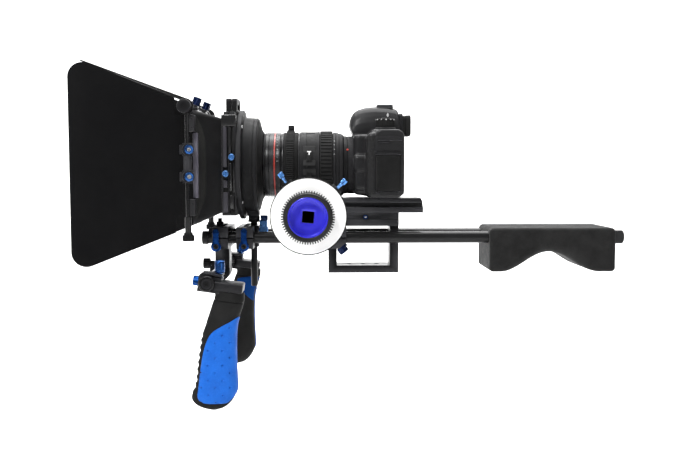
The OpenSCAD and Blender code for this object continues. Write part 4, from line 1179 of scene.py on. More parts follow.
# filter stages: a cage of plates and posts seen from the side
def make_stages():
    bm = bmesh.new()
    plates = ((-175.0, -173.4), (-167.0, -165.8), (-159.4, -157.4))
    for x0, x1 in plates:
        o = rounded(60, 61.5, 2.5, 4, 0, 137.2)
        w = rounded(45, 45, 3, 4, 0, 138)
        window(bm, "x", ((o, x0), (w, x0), (w, x1), (o, x1)))
    block(bm, -173.6, -158.0, -53.5, 53.5, 75.9, 83.8, 0.3, 1)
    obj_from(bm, "filter_stage_cage", "plastic", "matte_box", ("filter_stages",), 0.25, 2,
             40)
    ends, front, dark = bmesh.new(), bmesh.new(), bmesh.new()
    for s in (-1, 1):
        for x0, x1 in ((-173.4, -166.8), (-165.8, -159.4)):
            flank(dark, s, x0, x1, 53.05, 56.4, 78, 196, 0.2, 1)
        flank(ends, s, -175.2, -157.2, 56.2, 60.2, 185.0, 198.9, 0.9, 3)
        flank(ends, s, -175.2, -157.2, 56.2, 60.2, 75.6, 78.4, 0.6, 2)
        flank(ends, s, -165.2, -160.6, 56.2, 60.2, 84, 101, 0.8, 2)
        flank(front, s, -173.6, -167.6, 56.2, 60.2, 79.5, 104.5, 0.7, 2)
        flank(front, s, -173.4, -168.2, 56.2, 60.2, 110, 119, 0.7, 2)
        flank(front, s, -173.4, -168.6, 56.2, 60.2, 135, 184.6, 0.7, 2)
        flank(ends, s, -165.4, -162.6, 56.2, 60.2, 106, 140, 0.6, 2)
        flank(ends, s, -160.9, -159.5, 56.2, 60.2, 104, 184, 0.4, 2)
        flank(ends, s, -165.6, -163.8, 56.2, 60.2, 152, 184, 0.4, 2)
    obj_from(ends, "filter_stage_blocks", "gloss_black", "matte_box")
    obj_from(front, "filter_stage_front_rails", "stage_grey", "matte_box")
    obj_from(dark, "filter_stage_channels", "rubber", "matte_box")
    # polished guide rods in the cage sides
    bm = bmesh.new()
    for s in (-1, 1):
        pin(bm, 79, 185, 1.1, "z", (-175.2, s * 58.8, 0), 24, 0.2)
        pin(bm, 79, 185, 1.0, "z", (-158.1, s * 59.0, 0), 24, 0.2)
    obj_from(bm, "filter_stage_guides", "steel_dark", "matte_box")


make_stages()
for node, mat in (("front_tray", "plastic"), ("rear_tray", "plastic")):
    from_cad(node, node + "_frame", mat, node, 0.6)
bm = bmesh.new()
for i in (0, 1):
    x, z = -170.2 + 7.6 * i, 127 + 20.3 * i
    fluted(bm, (x, -60, z), (0, -1, 0), 4.0, 6.0, 10, 0.45, 0.5)
    pin(bm, 53.4, 60, 1.6, "-y", (x, 0, z), 24)
obj_from(bm, "tray_lock_screw_heads", "blue_light", "matte_box", ("tray_lock_screws",))

# post with its nut
bm = bmesh.new()
pin(bm, -19, 72.5, 4.25, "z", (POST_X, 0, 0), 64, 0.8)
prism(bm, [(POST_X + p[0], p[1]) for p in hex_pts(7.4)], "z", 66.5, 72.4)
solid(bm, [(64.5, 7.6), (64.8, 8.2), (66.2, 8.2), (66.6, 7.6)], "z", (POST_X, 0, 0), 48)
obj_from(bm, "matte_post_rod", "black_ano", "matte_box", ("matte_post",), 0.35)


# ----------------------------------------------------------------- flags
FLAG_ANGLE = math.radians(20)
FLAG_CORNER = 17


def flag_outline(side):
    """Outline of a side flag or of the top flag, measured from its hinge."""
    pts = []
    def half(u):
        return 73.5 + 0.37 * u
    n = 16
    def arc(cx, cy, a0, a1):
        for i in range(n + 1):
            a = math.radians(a0 + (a1 - a0) * i / n)
            pts.append((cx + FLAG_CORNER * math.cos(a), cy + FLAG_CORNER * math.sin(a)))
    if side:
        c = half(115.5) - 18.1
        pts += [(-4.2, -37), (-6.8, -37.4), (-6.8, -58), (-14.2, -58), (-14.2, -half(14.2))]
        arc(-115.5, -c, 290.3, 180)
        arc(-115.5, c, 180, 69.7)
        pts += [(-14.2, half(14.2)), (-14.2, 58), (-6.8, 58), (-6.8, 37.4), (-4.2, 37)]
    else:
        pts += [(-4, -98), (-4, 98)]
        arc(-120, 81, 90, 180)
        arc(-120, -81, 180, 270)
    return pts


def place(bm, turn, at):
    """Turns a mesh about the origin and moves it into place."""
    bmesh.ops.rotate(bm, cent=(0, 0, 0), matrix=turn, verts=bm.verts)
    bmesh.ops.translate(bm, vec=at, verts=bm.verts)


def make_side_flag(side, s):
    """Sheet, knuckles and clamp screws of one side flag."""
    body = side + "_flag"
    at = (SIDE_HINGE_X, s * SIDE_HINGE_Y, 137)
    turn = Matrix.Rotation(-s * FLAG_ANGLE, 3, "Z")
    bm = bmesh.new()
    prism(bm, flag_outline(True), "y", -0.75, 0.75)
    place(bm, turn, at)
    obj_from(bm, side + "_flag_sheet", "flag", body, (side + "_flag",), 0.25, 2)
    bm = bmesh.new()
    for z in (-13.1, 18.6):
        z0, z1 = z - 7.6, z + 7.6
        lathe(bm, [(z0, 3.85), (z0, 5.8), (z0 + 0.4, 6.2), (z1 - 0.4, 6.2), (z1, 5.8), (z1, 3.85)], "z",
              (0, 0, 0), 64)
        solid(bm, [(0.6, 6.4), (1.0, 7.0), (4.9, 7.0), (5.6, 6.4)], "y" if s > 0 else "-y", (0, 0, z), 64)
        block(bm, -9.5, -4.3, -1.9, 1.9, z - 5.5, z + 5.5, 0.6, 2)
    lathe(bm, [(-6.2, 3.85), (-6.2, 5.2), (11.6, 5.2), (11.6, 3.85)], "z", (0, 0, 0), 48)
    place(bm, turn, at)
    obj_from(bm, side + "_flag_knuckle", "black_ano", body)
    bm = bmesh.new()
    core = bmesh.new()
    for z in (-13.1, 18.6):
        b = bmesh.new()
        lathe(b, [(5.6, 2.6), (5.6, 4.6), (6.0, 5.2), (6.6, 5.5), (9.8, 5.5), (10.6, 5.1), (11.0, 4.3),
                  (11.0, 2.9), (10.6, 2.6)], "y" if s > 0 else "-y", (0, 0, z), 96,
              flutes(16, 0.35, 6.5, 9.9))
        merge(bm, b)
        socket_cap(core, (0, s * 5.6, z), (0, s, 0), 2.58, 5.2, 1.35)
    place(bm, turn, at)
    place(core, turn, at)
    obj_from(bm, side + "_flag_screw_heads", "blue_ano", body)
    obj_from(core, side + "_flag_screw_cores", "steel", body)


make_side_flag("left", -1)
make_side_flag("right", 1)

turn = Matrix.Rotation(FLAG_ANGLE, 3, "Y")
at = TOP_HINGE
bm = bmesh.new()
prism(bm, flag_outline(False), "z", 8.2, 9.7)
place(bm, turn, at)
obj_from(bm, "top_flag_sheet", "flag", "top_flag", ("top_flag",), 0.25, 2)
bm = bmesh.new()
for s in (-1, 1):
    y = s * 43.6
    lathe(bm, [(y - 10, 3.85), (y - 10, 5.8), (y - 9.6, 6.2), (y + 9.6, 6.2), (y + 10, 5.8),
               (y + 10, 3.85)], "y", (0, 0, 0), 64)
    block(bm, -6.0, 5.6, y - 9.4, y + 9.4, 4.2, 6.3, 0.5, 2)
    block(bm, -15, -4.2, y - 9.4, y + 9.4, 4.4, 8.2, 0.6, 2)
    for k in (-5, 5):
        socket_cap(bm, (-10, y + k, 9.7), (0, 0, 1), 2.2, 0.9, 1.1)
place(bm, turn, at)
obj_from(bm, "top_flag_knuckles", "black_ano", "top_flag")
bm = bmesh.new()
for s in (-1, 1):
    fluted(bm, (2, s * 43.6, 6.2), (0, 0, 1), 5.25, 10.2, 9, 0.8, 0.9)
place(bm, turn, at)
obj_from(bm, "top_flag_screw_heads", "blue_navy", "top_flag")


# ------------------------------------------------------------------ lens
def ring_piece(name, mat, body, profile, nodes=(), n=192, rib=None, angle=30.0):
    bm = bmesh.new()
    lathe(bm, profile, "x", (0, 0, LZ), n, rib)
    return obj_from(bm, name, mat, body, nodes, angle=angle)


ring_piece("lens_front_barrel", "lens_paint", "camera", [
    (-118.0, 36.5), (-119.0, 36.5), (-119.0, 37.2), (-120.5, 37.2), (-120.5, 37.6), (-122.0, 37.6), (-122.0,
            38.0), (-123.5, 38.0), (-123.5, 38.4),
    (-125.2, 38.4), (-126.1, 38.7), (-126.3, 39.6), (-126.0, 40.4), (-125.2, 40.9), (-124.2, 41.1), (-123.8,
            40.7), (-123.4, 41.2), (-122.4, 41.5),
    (-119.7, 41.5), (-119.3, 41.0), (-118.9, 41.0), (-118.5, 41.5), (-113.6, 41.5), (-113.35,
            41.15), (-113.3, 41.0), (-110.9, 41.0), (-110.8, 41.2), (-110.4, 41.4),
    (-105.6, 41.4), (-105.0, 41.0), (-104.4, 40.3), (-103.8, 40.2), (-103.2, 40.7), (-102.6, 41.3), (-101.6,
            41.4), (-101.0, 41.0), (-100.95, 38.0),
    (-82.6, 38.0), (-82.55, 40.9), (-82.2, 41.2), (-80.9, 41.2), (-80.6, 40.9), (-80.5, 36.0), (-112.0,
            35.0), (-118.0, 34.2)], ("lens_barrel",))
ring_piece("lens_red_ring", "red", "camera", [(-112.9, 41.02), (-112.9, 41.45), (-112.6, 41.6),
                                              (-111.5, 41.6), (-111.2, 41.45), (-111.2, 41.02)])
ring_piece("lens_mid_barrel", "plastic", "camera", [
    (-80.5, 36.0), (-80.5, 41.6), (-80.1, 42.2), (-79.4, 42.3), (-72.6, 42.3), (-72.3, 42.05), (-71.8,
            42.05), (-71.5, 42.3), (-58.6, 42.3), (-57.8, 42.6), (-56.2, 42.6),
    (-55.7, 42.2), (-55.5, 41.4), (-55.45, 40.0), (-38.75, 40.0), (-38.7, 41.6), (-38.2, 42.0), (-36.0,
            42.0), (-35.6, 41.4), (-35.2, 41.2), (-34.6, 41.6),
    (-31.8, 41.1), (-31.4, 40.4), (-30.8, 40.4), (-30.4, 40.8), (-26.6, 39.4), (-26.0, 38.6), (-25.4,
            38.2), (-24.8, 37.2), (-21.0, 37.0), (-20.6, 36.4), (-20.0, 36.4),
    (-19.6, 37.0), (-10.6, 37.0), (-10.05, 36.4), (-10.05, 20.0), (-22.0, 18.0), (-30.0, 17.5), (-80.5,
            34.0)])
ring_piece("lens_mount_bayonet", "steel", "camera", [(-10.0, 18.0), (-10.0, 32.0), (-9.8, 32.5),
        (-4.4, 32.5), (-4.0, 32.0), (-4.0, 18.0)])
# focus ring: fine gear ring at its front, smooth band behind it and a stop lug on top
bm = bmesh.new()


GEAR_TEETH = 108
ZOOM_RIBS = 56


def gear_rule(k, a, h, r):
    """Square teeth on the raised band of the focus ring."""
    if r < 43.0:
        return r
    return 42.35 if (GEAR_TEETH * a / TAU) % 1.0 > 0.5 else 44.0


prof = [(-100.6, 38.1), (-100.6, 41.6), (-100.4, 41.8), (-97.6, 41.8), (-97.55, 42.0), (-97.4, 44.0),
        (-88.0, 44.0), (-87.8, 42.4), (-87.4, 41.8), (-84.0, 41.8), (-83.4, 41.5), (-82.95, 41.0), (-82.95,
                38.1)]
lathe(bm, prof, "x", (0, 0, LZ), 864, gear_rule)
obj_from(bm, "focus_ring_gear", "rubber", "focus_ring", ("focus_ring",), angle=40)
bm = bmesh.new()
block(bm, -96.0, -88.2, -7.0, 7.0, 180.0, 188.5, 0.8, 3)
block(bm, -97.4, -87.9, -8.2, 8.2, 178.2, 182.4, 0.8, 3)
pin(bm, -8.6, 8.6, 1.5, "y", (-92.1, 0, 184.8), 32, 0.3)
obj_from(bm, "focus_ring_lug", "plastic", "focus_ring")
# zoom ring with long ribs
bm = bmesh.new()


def zoom_rule(k, a, h, r):
    """Wide flat ribs along the zoom ring."""
    if r < 43.3 or not (-53.9 < h < -40.4):
        return r
    return r - (1.1 if (ZOOM_RIBS * a / TAU) % 1.0 > 0.66 else 0.0)


prof = [(-55.2, 40.1), (-55.2, 42.4), (-54.8, 43.1), (-54.0, 43.3), (-53.8, 43.5), (-40.5, 43.5),
        (-40.3, 43.2), (-39.6, 43.0), (-39.1, 42.4), (-39.1, 40.1)]
lathe(bm, prof, "x", (0, 0, LZ), 1008, zoom_rule)
obj_from(bm, "zoom_ring_ribbed", "rubber", "zoom_ring", ("zoom_ring",), angle=40)


def shell_patch(bm, x0, x1, a0, a1, r0, r1, corner=1.4):
    """A raised panel that follows the barrel between two angles, in degrees from the camera side upwards."""
    ring = []
    half_w, half_a = (x1 - x0) / 2, math.radians(a1 - a0) / 2 * r1
    for p in rounded(half_w, half_a, corner, 4):
        ring.append(p)
    layers = []
    for r, inset in ((r0, 0.0), (r1 - 0.35, 0.0), (r1 - 0.1, 0.12), (r1, 0.4)):
        row = []
        for u, v in ring:
            uu = u * (half_w - inset) / half_w
            vv = v * (half_a - inset) / half_a
            a = math.radians((a0 + a1) / 2) + vv / r1
            row.append(Vector(((x0 + x1) / 2 + uu, -r * math.cos(a), LZ + r * math.sin(a))))
        layers.append(row)
    rows = loft(bm, layers, True, False)
    m = len(ring)
    # closes the curved top with strips across the barrel
    for row in (rows[-1], rows[0]):
        idx = list(range(m))
        left = [i for i in idx if ring[i][0] < 0]
        right = [i for i in idx if ring[i][0] >= 0]
        left.sort(key=lambda i: ring[i][1])
        right.sort(key=lambda i: ring[i][1])
        for i in range(len(left) - 1):
            bm.faces.new((row[left[i]], row[left[i + 1]], row[right[i + 1]], row[right[i]]))


bm = bmesh.new()
shell_patch(bm, -76.0, -60.6, -2, 33, 41.8, 43.5)
shell_patch(bm, -76.4, -60.2, -33, -7, 41.8, 43.0)
obj_from(bm, "lens_switch_panels", "plastic_soft", "camera")
bm = bmesh.new()
for lo, hi in ((5, 25), (-27, -13)):
    shell_patch(bm, -72.0, -65.0, lo, hi, 42.8, 43.8, corner=0.8)
obj_from(bm, "lens_switch_recesses", "rubber", "camera")
bm = bmesh.new()
shell_patch(bm, -70.4, -66.6, 8, 15, 43.4, 44.4, corner=0.5)
shell_patch(bm, -70.2, -66.8, -24, -19, 43.2, 44.3, corner=0.5)
obj_from(bm, "lens_switch_sliders", "plastic", "camera")
bm = bmesh.new()
shell_patch(bm, -71.0, -66.0, 21.2, 23.2, 43.4, 43.88, corner=0.3)
shell_patch(bm, -69.3, -67.7, 16.4, 21.4, 43.4, 43.86, corner=0.2)
obj_from(bm, "lens_switch_marks", "mark", "camera")
bm = bmesh.new()
shell_patch(bm, -72.5, -61.5, 72, 108, 41.8, 42.95, corner=1.2)
obj_from(bm, "lens_window_frame", "plastic", "camera")
bm = bmesh.new()
shell_patch(bm, -71.0, -63.0, 74.5, 105.5, 42.4, 43.05, corner=0.8)
obj_from(bm, "lens_distance_window", "screen", "camera")
# plain tick marks instead of scales
bm = bmesh.new()
for i in range(9):
    a = 6 + 7.2 * i
    shell_patch(bm, -109.6, -108.0 if i % 3 else -107.2, a, a + 0.9, 41.2, 41.47, corner=0.1)
for i in range(4):
    a = 18 + 9.0 * i
    shell_patch(bm, -38.0, -36.4, a, a + 1.1, 41.8, 42.07, corner=0.1)
obj_from(bm, "lens_tick_marks", "mark", "camera")


def make_glass():
    """Glass elements, with a thin retaining ring and a dark baffle behind."""
    bm = bmesh.new()
    front = [(-117.5, 33.99)]
    for i in range(11):
        r = 33.9 * (1 - i / 10)
        front.append((-117.4 - 3.4 * (1 - (r / 34.0) ** 2), max(r, 0.02)))
    back = [(-112.0 - 1.6 * (1 - (r / 34.0) ** 2), max(r, 0.02))
            for r in [33.9 * i / 10 for i in range(11)]]
    solid(bm, list(reversed(front + back)), "x", (0, 0, LZ), 128)
    solid(bm, [(-29.5, 16.6), (-29.3, 17.0), (-22.7, 17.0), (-22.5, 16.6)], "x", (0, 0, LZ), 96)
    obj_from(bm, "lens_glass_elements", "glass", "camera", ("lens_glass",), angle=50)
    ring_piece("lens_glass_retainer", "gloss_black", "camera",
               [(-117.9, 33.2), (-118.6, 33.6), (-118.6, 36.4), (-112.4, 36.4), (-112.4, 34.02),
                (-117.4, 34.02)])
    bm = bmesh.new()
    solid(bm, [(-100.0, 33.0), (-99.9, 33.2), (-99.0, 33.2), (-99.0, 20.0)], "x", (0, 0, LZ), 96)
    obj_from(bm, "lens_inner_baffle", "rubber", "camera")


make_glass()


# ---------------------------------------------------------------- camera
def rbox(bm, axis, outline, d0, d1, r_end, n=5):
    """An outline swept along an axis with rounded ends. outline(inset) gives the ring."""
    rings = []
    lo = [(d0 + r_end * (1 - math.cos(math.radians(90 * i / n))),
           r_end * (1 - math.sin(math.radians(90 * i / n)))) for i in range(n + 1)]
    hi = [(d1 - (d - d0), inset) for d, inset in reversed(lo)]
    for d, inset in lo + hi:
        rings.append([at_depth(axis, p, d) for p in outline(inset)])
    loft(bm, rings)


def rect(a0, a1, b0, b1, r):
    """Outline rule of a rounded rectangle that can be inset."""
    def f(inset):
        return rounded((a1 - a0) / 2 - inset, (b1 - b0) / 2 - inset, max(r - inset, 0.3), 8, (a0 + a1) / 2,
                       (b0 + b1) / 2)
    return f


def camera_shell():
    """Body, cheeks, hump and bulges, welded into one smooth skin."""
    bm = bmesh.new()
    rbox(bm, "y", rect(2, 46, 97.3, 178, 8.5), -65.4, 85.6, 5.0)
    rbox(bm, "y", rect(11.5, 48.2, 97.4, 181.5, 9.5), -65.9, -44, 3.2)
    rbox(bm, "z", lambda i: rounded(13 - i, 44 - i, 8 - i * 0.4, 8, -0.6, 0), 101.0, 176.0, 5.0)
    rbox(bm, "y", rect(7, 43.5, 165, 182.2, 7.5), -61.5, -24, 5.5)
    rbox(bm, "z", lambda i: rounded(17 - i, 18 - i, 11 - i * 0.5, 8, -3, 67.8), 99.4, 172, 6.0)
    rbox(bm, "y", rect(-6, 42, 152, 180, 10), 42, 83, 7.0)
    # hump with shoulders that fall away to both sides
    prof = [(-9, 166), (-13.2, 174), (-15.6, 181), (-18.0, 187.6), (-17.6, 193), (-15.8, 199),
            (-12.2, 204.6), (-6.4, 208.4), (1.4, 210.7), (10, 211.8), (18, 212),
            (30, 211.4), (40, 209.7), (43.6, 207.6), (45.4, 203), (46, 197), (46, 166)]
    rings = []
    for k, y in ((0.40, -27.2), (0.56, -26.2), (0.72, -24.0), (0.85, -20.8), (0.94, -17.0), (0.985, -13.5),
                 (1.0, -9.0), (1.0, 0.0)):
        ring = []
        for x, z in prof:
            zz = 166 + (z - 166) * k
            xx = 16 + (x - 16) * (0.78 + 0.22 * k)
            if x > 40:
                xx = x
            ring.append(Vector((xx, y, zz)))
        rings.append(ring)
    rings += [[Vector((p.x, -p.y, p.z)) for p in ring] for ring in reversed(rings[:-1])]
    loft(bm, rings)
    # round mount housing and the bulge of its release button
    solid(bm, [(-9.6, 35.5), (-9.8, 37.0), (-9.2, 38.2), (-7.8, 38.6), (0.0, 39.6), (6.0, 41.0),
               (10.0, 42.0)], "x", (0, 0, LZ), 128)
    rbox(bm, "x", lambda i: rounded(9.6 - i, 12.0 - i, 6.5 - i * 0.5, 8, -42.4, 139.4), -13.6, 8, 5.0)
    rbox(bm, "x", lambda i: rounded(9.0 - i, 13.0 - i, 6.0 - i * 0.5, 8, -41.0, 119.0), -12.0, 8, 3.0)
    block(bm, 9.5, 46, -25, 25, 96.2, 104, 1.5, 3)
    # the shell stays behind the lens flange
    shell = voxel_join(bm, 0.75, 4, 0.5)
    for v in shell.verts:
        if v.co.x < -9.7 and math.hypot(v.co.y, v.co.z - LZ) < 38.2:
            v.co.x = -9.7
    return shell


shell = camera_shell()


def skin(src, test, lift, sink=0.5):
    """A thin overlay that follows the shell wherever test(centre, normal) holds."""
    src.normal_update()
    keep = [f for f in src.faces if test(f.calc_center_median(), f.normal)]
    used = {}
    out = bmesh.new()
    for f in keep:
        for v in f.verts:
            if v.index not in used:
                used[v.index] = (out.verts.new(v.co + v.normal * lift),
                                 out.verts.new(v.co - v.normal * sink))
    edge_use = {}
    for f in keep:
        vs = [v.index for v in f.verts]
        out.faces.new([used[i][0] for i in vs])
        out.faces.new([used[i][1] for i in reversed(vs)])
        for a, b in zip(vs, vs[1:] + vs[:1]):
            edge_use[(a, b)] = True
    for a, b in edge_use:
        if (b, a) not in edge_use:
            out.faces.new((used[a][0], used[a][1], used[b][1], used[b][0]))
    return out


shell.verts.index_update()
shell.verts.ensure_lookup_table()


def under_leather(c, n):
    """Leather areas of the shell: its near front corner and the hand grip on the far side."""
    upright = abs(n.z) < 0.5
    near = c.y < -54 and 103.5 < c.z < 172.5 and c.x < 10.6 and n.y < 0.3
    far = 103.5 < c.z < 163 and (c.y > 70 or (c.y > 40 and c.x < 18))
    return upright and (near or far)


leather = skin(shell, under_leather, 0.35)
obj_from(leather, "camera_leather_strips", "leather", "camera", angle=50)
obj_from(shell, "camera_shell_smooth", "camera_paint", "camera", ("camera_body",), angle=50)

# mount ring, red dot and release button
ring_piece("camera_mount_ring", "steel_dark", "camera", [(-10.3, 32.6), (-10.3, 35.6), (-10.0, 35.9),
        (-9.0, 36.0), (-9.0, 32.6)])
bm = bmesh.new()
solid(bm, [(36.6, 1.5), (37.25, 1.3), (37.3, 0.6)], at=(-20.6, 0, LZ),
      turn=heading((0, -math.cos(math.radians(28)), math.sin(math.radians(32)))), n=24)
obj_from(bm, "camera_mount_dot", "red", "camera")
bm = bmesh.new()
solid(bm, [(-14.2, 4.6), (-14.5, 5.6), (-14.2, 6.6), (-13.4, 7.0), (-11.0, 7.2)], "x", (0, -42.6, 139.4),
      64)
obj_from(bm, "camera_release_button", "plastic", "camera")
# small round terminal below the release button; its grey stands in for a painted highlight on its ring
bm = bmesh.new()
turn = heading((-0.35, -0.94, 0))
solid(bm, [(0, 3.6), (1.0, 3.6), (1.25, 3.3), (1.25, 2.6), (0.8, 2.4), (0.8, 1.2), (1.4, 1.0), (1.4, 0.4)],
      at=(-8.4, -45.6, 120.1), turn=turn, n=48)
obj_from(bm, "camera_round_terminal", "stage_grey", "camera")

# left side: raised surround of the terminal door, strip above it and the strap lug
bm = bmesh.new()
o = rounded(17.3, 34.6, 5.0, 8, 28.3, 137.6)
w = rounded(15.6, 22.5, 3.2, 8, 28.25, 128.0)
window(bm, "y", ((w, -65.2), (w, -66.5), (o, -66.5), (o, -65.2)))
obj_from(bm, "camera_door_surround", "camera_paint", "camera", bevel=0.35, segs=3)
bm = bmesh.new()
rbox(bm, "y", rect(13.2, 43.4, 151.6, 155.8, 1.6), -67.4, -65.4, 0.8)
obj_from(bm, "camera_side_strips", "plastic", "camera")
bm = bmesh.new()
rbox(bm, "y", rect(15.8, 45.2, 166.0, 167.2, 0.5), -67.0, -65.4, 0.3)
obj_from(bm, "camera_side_slot", "rubber", "camera")
# thin grey lines above the slot, below the strip and at the foot of the door: painted highlights of their
# edges
bm = bmesh.new()
rbox(bm, "y", rect(15.8, 45.2, 167.25, 167.95, 0.3), -67.2, -65.4, 0.2)
rbox(bm, "y", rect(13.0, 43.6, 150.2, 150.9, 0.3), -67.5, -65.4, 0.2)
rbox(bm, "y", rect(13.6, 43.0, 104.6, 105.2, 0.28), -67.4, -65.4, 0.2)
obj_from(bm, "camera_side_painted_highlight_lines", "painted_highlight_grey", "camera")
bm = bmesh.new()
o = rounded(6.6, 1.7, 1.5, 6, 23.6, 166.2)
w = rounded(4.8, 0.55, 0.5, 6, 23.6, 166.2)
window(bm, "y", ((w, -65.4), (w, -67.9), (o, -67.9), (o, -65.4)))
obj_from(bm, "camera_strap_lug", "black_soft", "camera", bevel=0.3)
bm = bmesh.new()
rbox(bm, "y", rect(13.4, 43.1, 106.1, 149.9, 3.0), -67.2, -65.3, 0.9)
rbox(bm, "y", rect(15.4, 41.1, 108.1, 147.9, 2.0), -67.35, -66.6, 0.4)
obj_from(bm, "terminal_door_panel", "rubber", "terminal_door", ("terminal_cover",))

# hot shoe on the hump
bm = bmesh.new()
block(bm, 17, 38, -15.6, 15.6, 209.4, 211.7, 0.8, 2)
obj_from(bm, "hot_shoe_block", "camera_paint", "camera")
bm = bmesh.new()
for s in (-1, 1):
    flank(bm, s, 18, 38, 9.4, 12.4, 211.0, 213.0, 0.25, 2)
    flank(bm, s, 18, 38, 6.6, 12.4, 213.2, 214.6, 0.35, 2)
block(bm, 17.2, 19.0, -12.4, 12.4, 211.2, 214.4, 0.3, 2)
block(bm, 19.0, 38, -9.4, 9.4, 211.2, 211.9, 0.2, 1)
obj_from(bm, "hot_shoe_rails", "black_soft", "camera")

# mode dial with a ribbed edge and plain marks
bm = bmesh.new()
solid(bm, [(181.6, 12.6), (182.6, 12.8), (183.6, 12.6), (184.1, 12.0)], "z", (26, -45, 0), 96)
obj_from(bm, "mode_dial_base", "camera_paint", "camera")
bm = bmesh.new()
solid(bm, [(184.3, 10.6), (184.7, 11.3), (185.4, 11.7), (193.4, 11.7), (194.4, 11.3), (195.0, 10.6),
           (195.3, 10.0), (195.3, 3.6), (195.1, 3.3), (195.1, 3.1), (196.1, 3.0), (196.7, 2.4)],
      "z", (26, -45, 0), 180, flutes(45, 0.45, 185.2, 193.6, 0.6))
obj_from(bm, "mode_dial_ribbed", "rubber", "mode_dial", ("mode_dial",))
bm = bmesh.new()
for i in range(12):
    a = TAU * i / 12
    t = Matrix.Rotation(a, 3, "Z")
    block(bm, 7.2, 9.0, -0.4, 0.4, 195.15, 195.45, 0.0, 1, t, (26, -45, 0))
    block(bm, 11.4, 11.78, -0.35 - 0.25 * (i % 2), 0.35 + 0.25 * (i % 2), 193.0, 194.3, 0.0, 1,
          Matrix.Rotation(a + 0.02, 3, "Z"), (26, -45, 0))
obj_from(bm, "mode_dial_marks", "mark", "mode_dial")
# small plain star on the flank of the hump
bm = bmesh.new()
for w, h in ((0.55, 2.3), (1.6, 0.55)):
    block(bm, 30.2 - w, 30.2 + w, -27.6, -26.4, 200.6 - h, 200.6 + h, 0.15, 1)
obj_from(bm, "camera_hump_mark", "mark", "camera")
bm = bmesh.new()
solid(bm, [(172.6, 6.6), (173.4, 6.8), (173.8, 6.2), (174.1, 5.8)], "z", (-10, 68, 0), 64)
obj_from(bm, "shutter_button_collar", "camera_paint", "camera")
bm = bmesh.new()
solid(bm, [(174.05, 5.2), (174.3, 5.5), (175.4, 5.5), (175.8, 5.1), (175.9, 4.2), (175.7, 2.2),
           (175.6, 0.6)], "z", (-10, 68, 0), 64)
obj_from(bm, "shutter_button_cap", "steel", "shutter", ("shutter_button",))

# back panel, screen, eyepiece and dial
bm = bmesh.new()
rbox(bm, "x", lambda i: rounded(67 - i, 37.5 - i, 7 - i * 0.5, 8, 10, 138.5), 45.2, 49.0, 1.6)
obj_from(bm, "camera_back_panel", "camera_paint", "camera", ("camera_back",), angle=40)
bm = bmesh.new()
o, w = rounded(34, 26, 2.6, 6, -10, 130), rounded(30.5, 21.5, 0.8, 6, -10, 131.5)
window(bm, "x", ((w, 48.6), (w, 50.0), (o, 50.2), (o, 48.6)))
obj_from(bm, "camera_screen_frame", "plastic", "camera", bevel=0.3)
bm = bmesh.new()
block(bm, 48.6, 49.7, -40.6, 20.6, 109.9, 153.1, 0.2, 1)
obj_from(bm, "camera_screen_glass", "screen", "camera")
bm = bmesh.new()
o, w = rounded(21, 16.5, 4.5, 6, 0, 186.5), rounded(12.2, 8.2, 2.4, 6, 0, 189)
window(bm, "x", ((w, 45.6), (w, 49.6), (o, 49.9), (o, 45.4)))
obj_from(bm, "camera_eyepiece_block", "plastic", "camera", bevel=0.4)
bm = bmesh.new()
block(bm, 45.9, 46.9, -12, 12, 181, 197, 0.2, 1)
obj_from(bm, "camera_eyepiece_glass", "screen", "camera")
bm = bmesh.new()
rings = []
for x, hw, hh, r in ((50.0, 18.2, 11.4, 4.5), (50.3, 18.9, 12.1, 4.6), (52.4, 19.2, 12.3, 4.8),
                     (52.8, 18.7, 11.9, 4.6), (53.3, 18.8, 12.0, 4.6), (54.0, 19.7, 12.7, 5.2), (58.4, 20.0,
                        13.0, 6.0),
                     (59.7, 19.6, 12.7, 6.0), (60.3, 18.6, 11.8, 5.6), (60.1, 17.2, 10.6, 5.0), (58.8, 15.6,
                        9.2, 4.4), (56.5, 13.9, 7.9, 3.6), (53.5, 13.2, 7.2, 2.8), (50.0, 13.0, 7.0, 2.4)):
    rings.append([Vector((x, p[0], p[1])) for p in rounded(hw, hh * 1.03, r, 8, 0, 188)])
vr = loft(bm, rings, True, False)
wall(bm, vr[-1], vr[0])
obj_from(bm, "eyecup_rubber", "rubber", "camera", ("eyecup",), angle=45)
bm = bmesh.new()
solid(bm, [(49.35, 14.2), (49.6, 14.8), (50.2, 15.0), (51.6, 15.0), (52.2, 14.5), (52.3, 13.6),
           (51.8, 12.6), (51.2, 11.0), (51.1, 5.2), (51.4, 4.9), (52.0, 4.7), (52.2, 4.0)],
      "x", (0, 55, 133), 180, flutes(60, 0.35, 50.0, 51.8, 0.6))
obj_from(bm, "rear_dial_ribbed", "knurl", "rear_dial", ("rear_dial",))


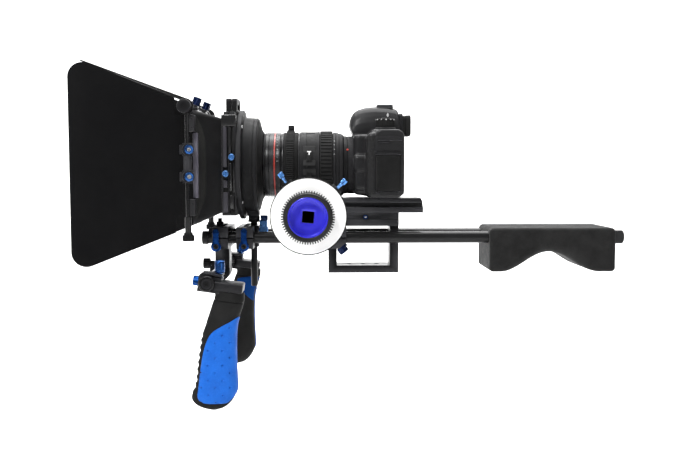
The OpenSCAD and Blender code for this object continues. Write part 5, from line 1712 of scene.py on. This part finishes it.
# ----------------------------------------------------- floor and lighting
def make_stage():
    """Pale floor that sweeps up into the backdrop."""
    m = Mat("floor_pale", Specular_IOR_Level=0.2)
    m.color(m.ramp(m.noise(3.0, 2.0), (0.3, (0.93, 0.93, 0.93)), (0.7, (0.96, 0.96, 0.96))))
    m.rough(m.remap(m.noise(40.0), 0.3, 0.7, 0.6, 0.8))
    bm = bmesh.new()
    prof = [(-6.0, -0.215), (1.6, -0.215), (2.1, -0.19), (2.5, -0.10), (2.8, 0.10), (2.95, 0.5), (3.0, 4.5)]
    a = [bm.verts.new((-6.0, y, z)) for y, z in prof]
    b = [bm.verts.new((6.0, y, z)) for y, z in prof]
    for i in range(len(prof) - 1):
        bm.faces.new((a[i], b[i], b[i + 1], a[i + 1]))
    me = bpy.data.meshes.new("floor")
    bm.to_mesh(me)
    bm.free()
    ob = bpy.data.objects.new("floor", me)
    bpy.context.scene.collection.objects.link(ob)
    me.materials.append(m.mat)
    me.polygons.foreach_set("use_smooth", [True] * len(me.polygons))


def area(name, at, look, size, power):
    """A square soft light at a place, aimed at a point."""
    data = bpy.data.lights.new(name, "AREA")
    data.energy = power
    data.size = size
    ob = bpy.data.objects.new(name, data)
    ob.location = at
    ob.rotation_euler = (Vector(look) - Vector(at)).to_track_quat("-Z", "Y").to_euler()
    bpy.context.scene.collection.objects.link(ob)


make_stage()
area("key", (-0.7, -1.5, 1.6), (-0.02, 0, 0.05), 0.5, 34)
area("rim", (-1.3, -0.9, 0.9), (-0.1, 0, 0.1), 0.25, 9)
area("fill", (1.3, -1.5, 0.5), (0, 0, 0.03), 0.7, 5)
area("top", (0.0, 0.3, 2.0), (0, 0.3, 0), 1.8, 62)
area("backdrop", (0.0, 1.3, 2.4), (0, 3.2, 0.2), 3.0, 175)
world = bpy.data.worlds.new("studio")
world.use_nodes = True
world.node_tree.nodes["Background"].inputs["Color"].default_value = (1.0, 1.0, 1.0, 1.0)
world.node_tree.nodes["Background"].inputs["Strength"].default_value = 0.13
bpy.context.scene.world = world
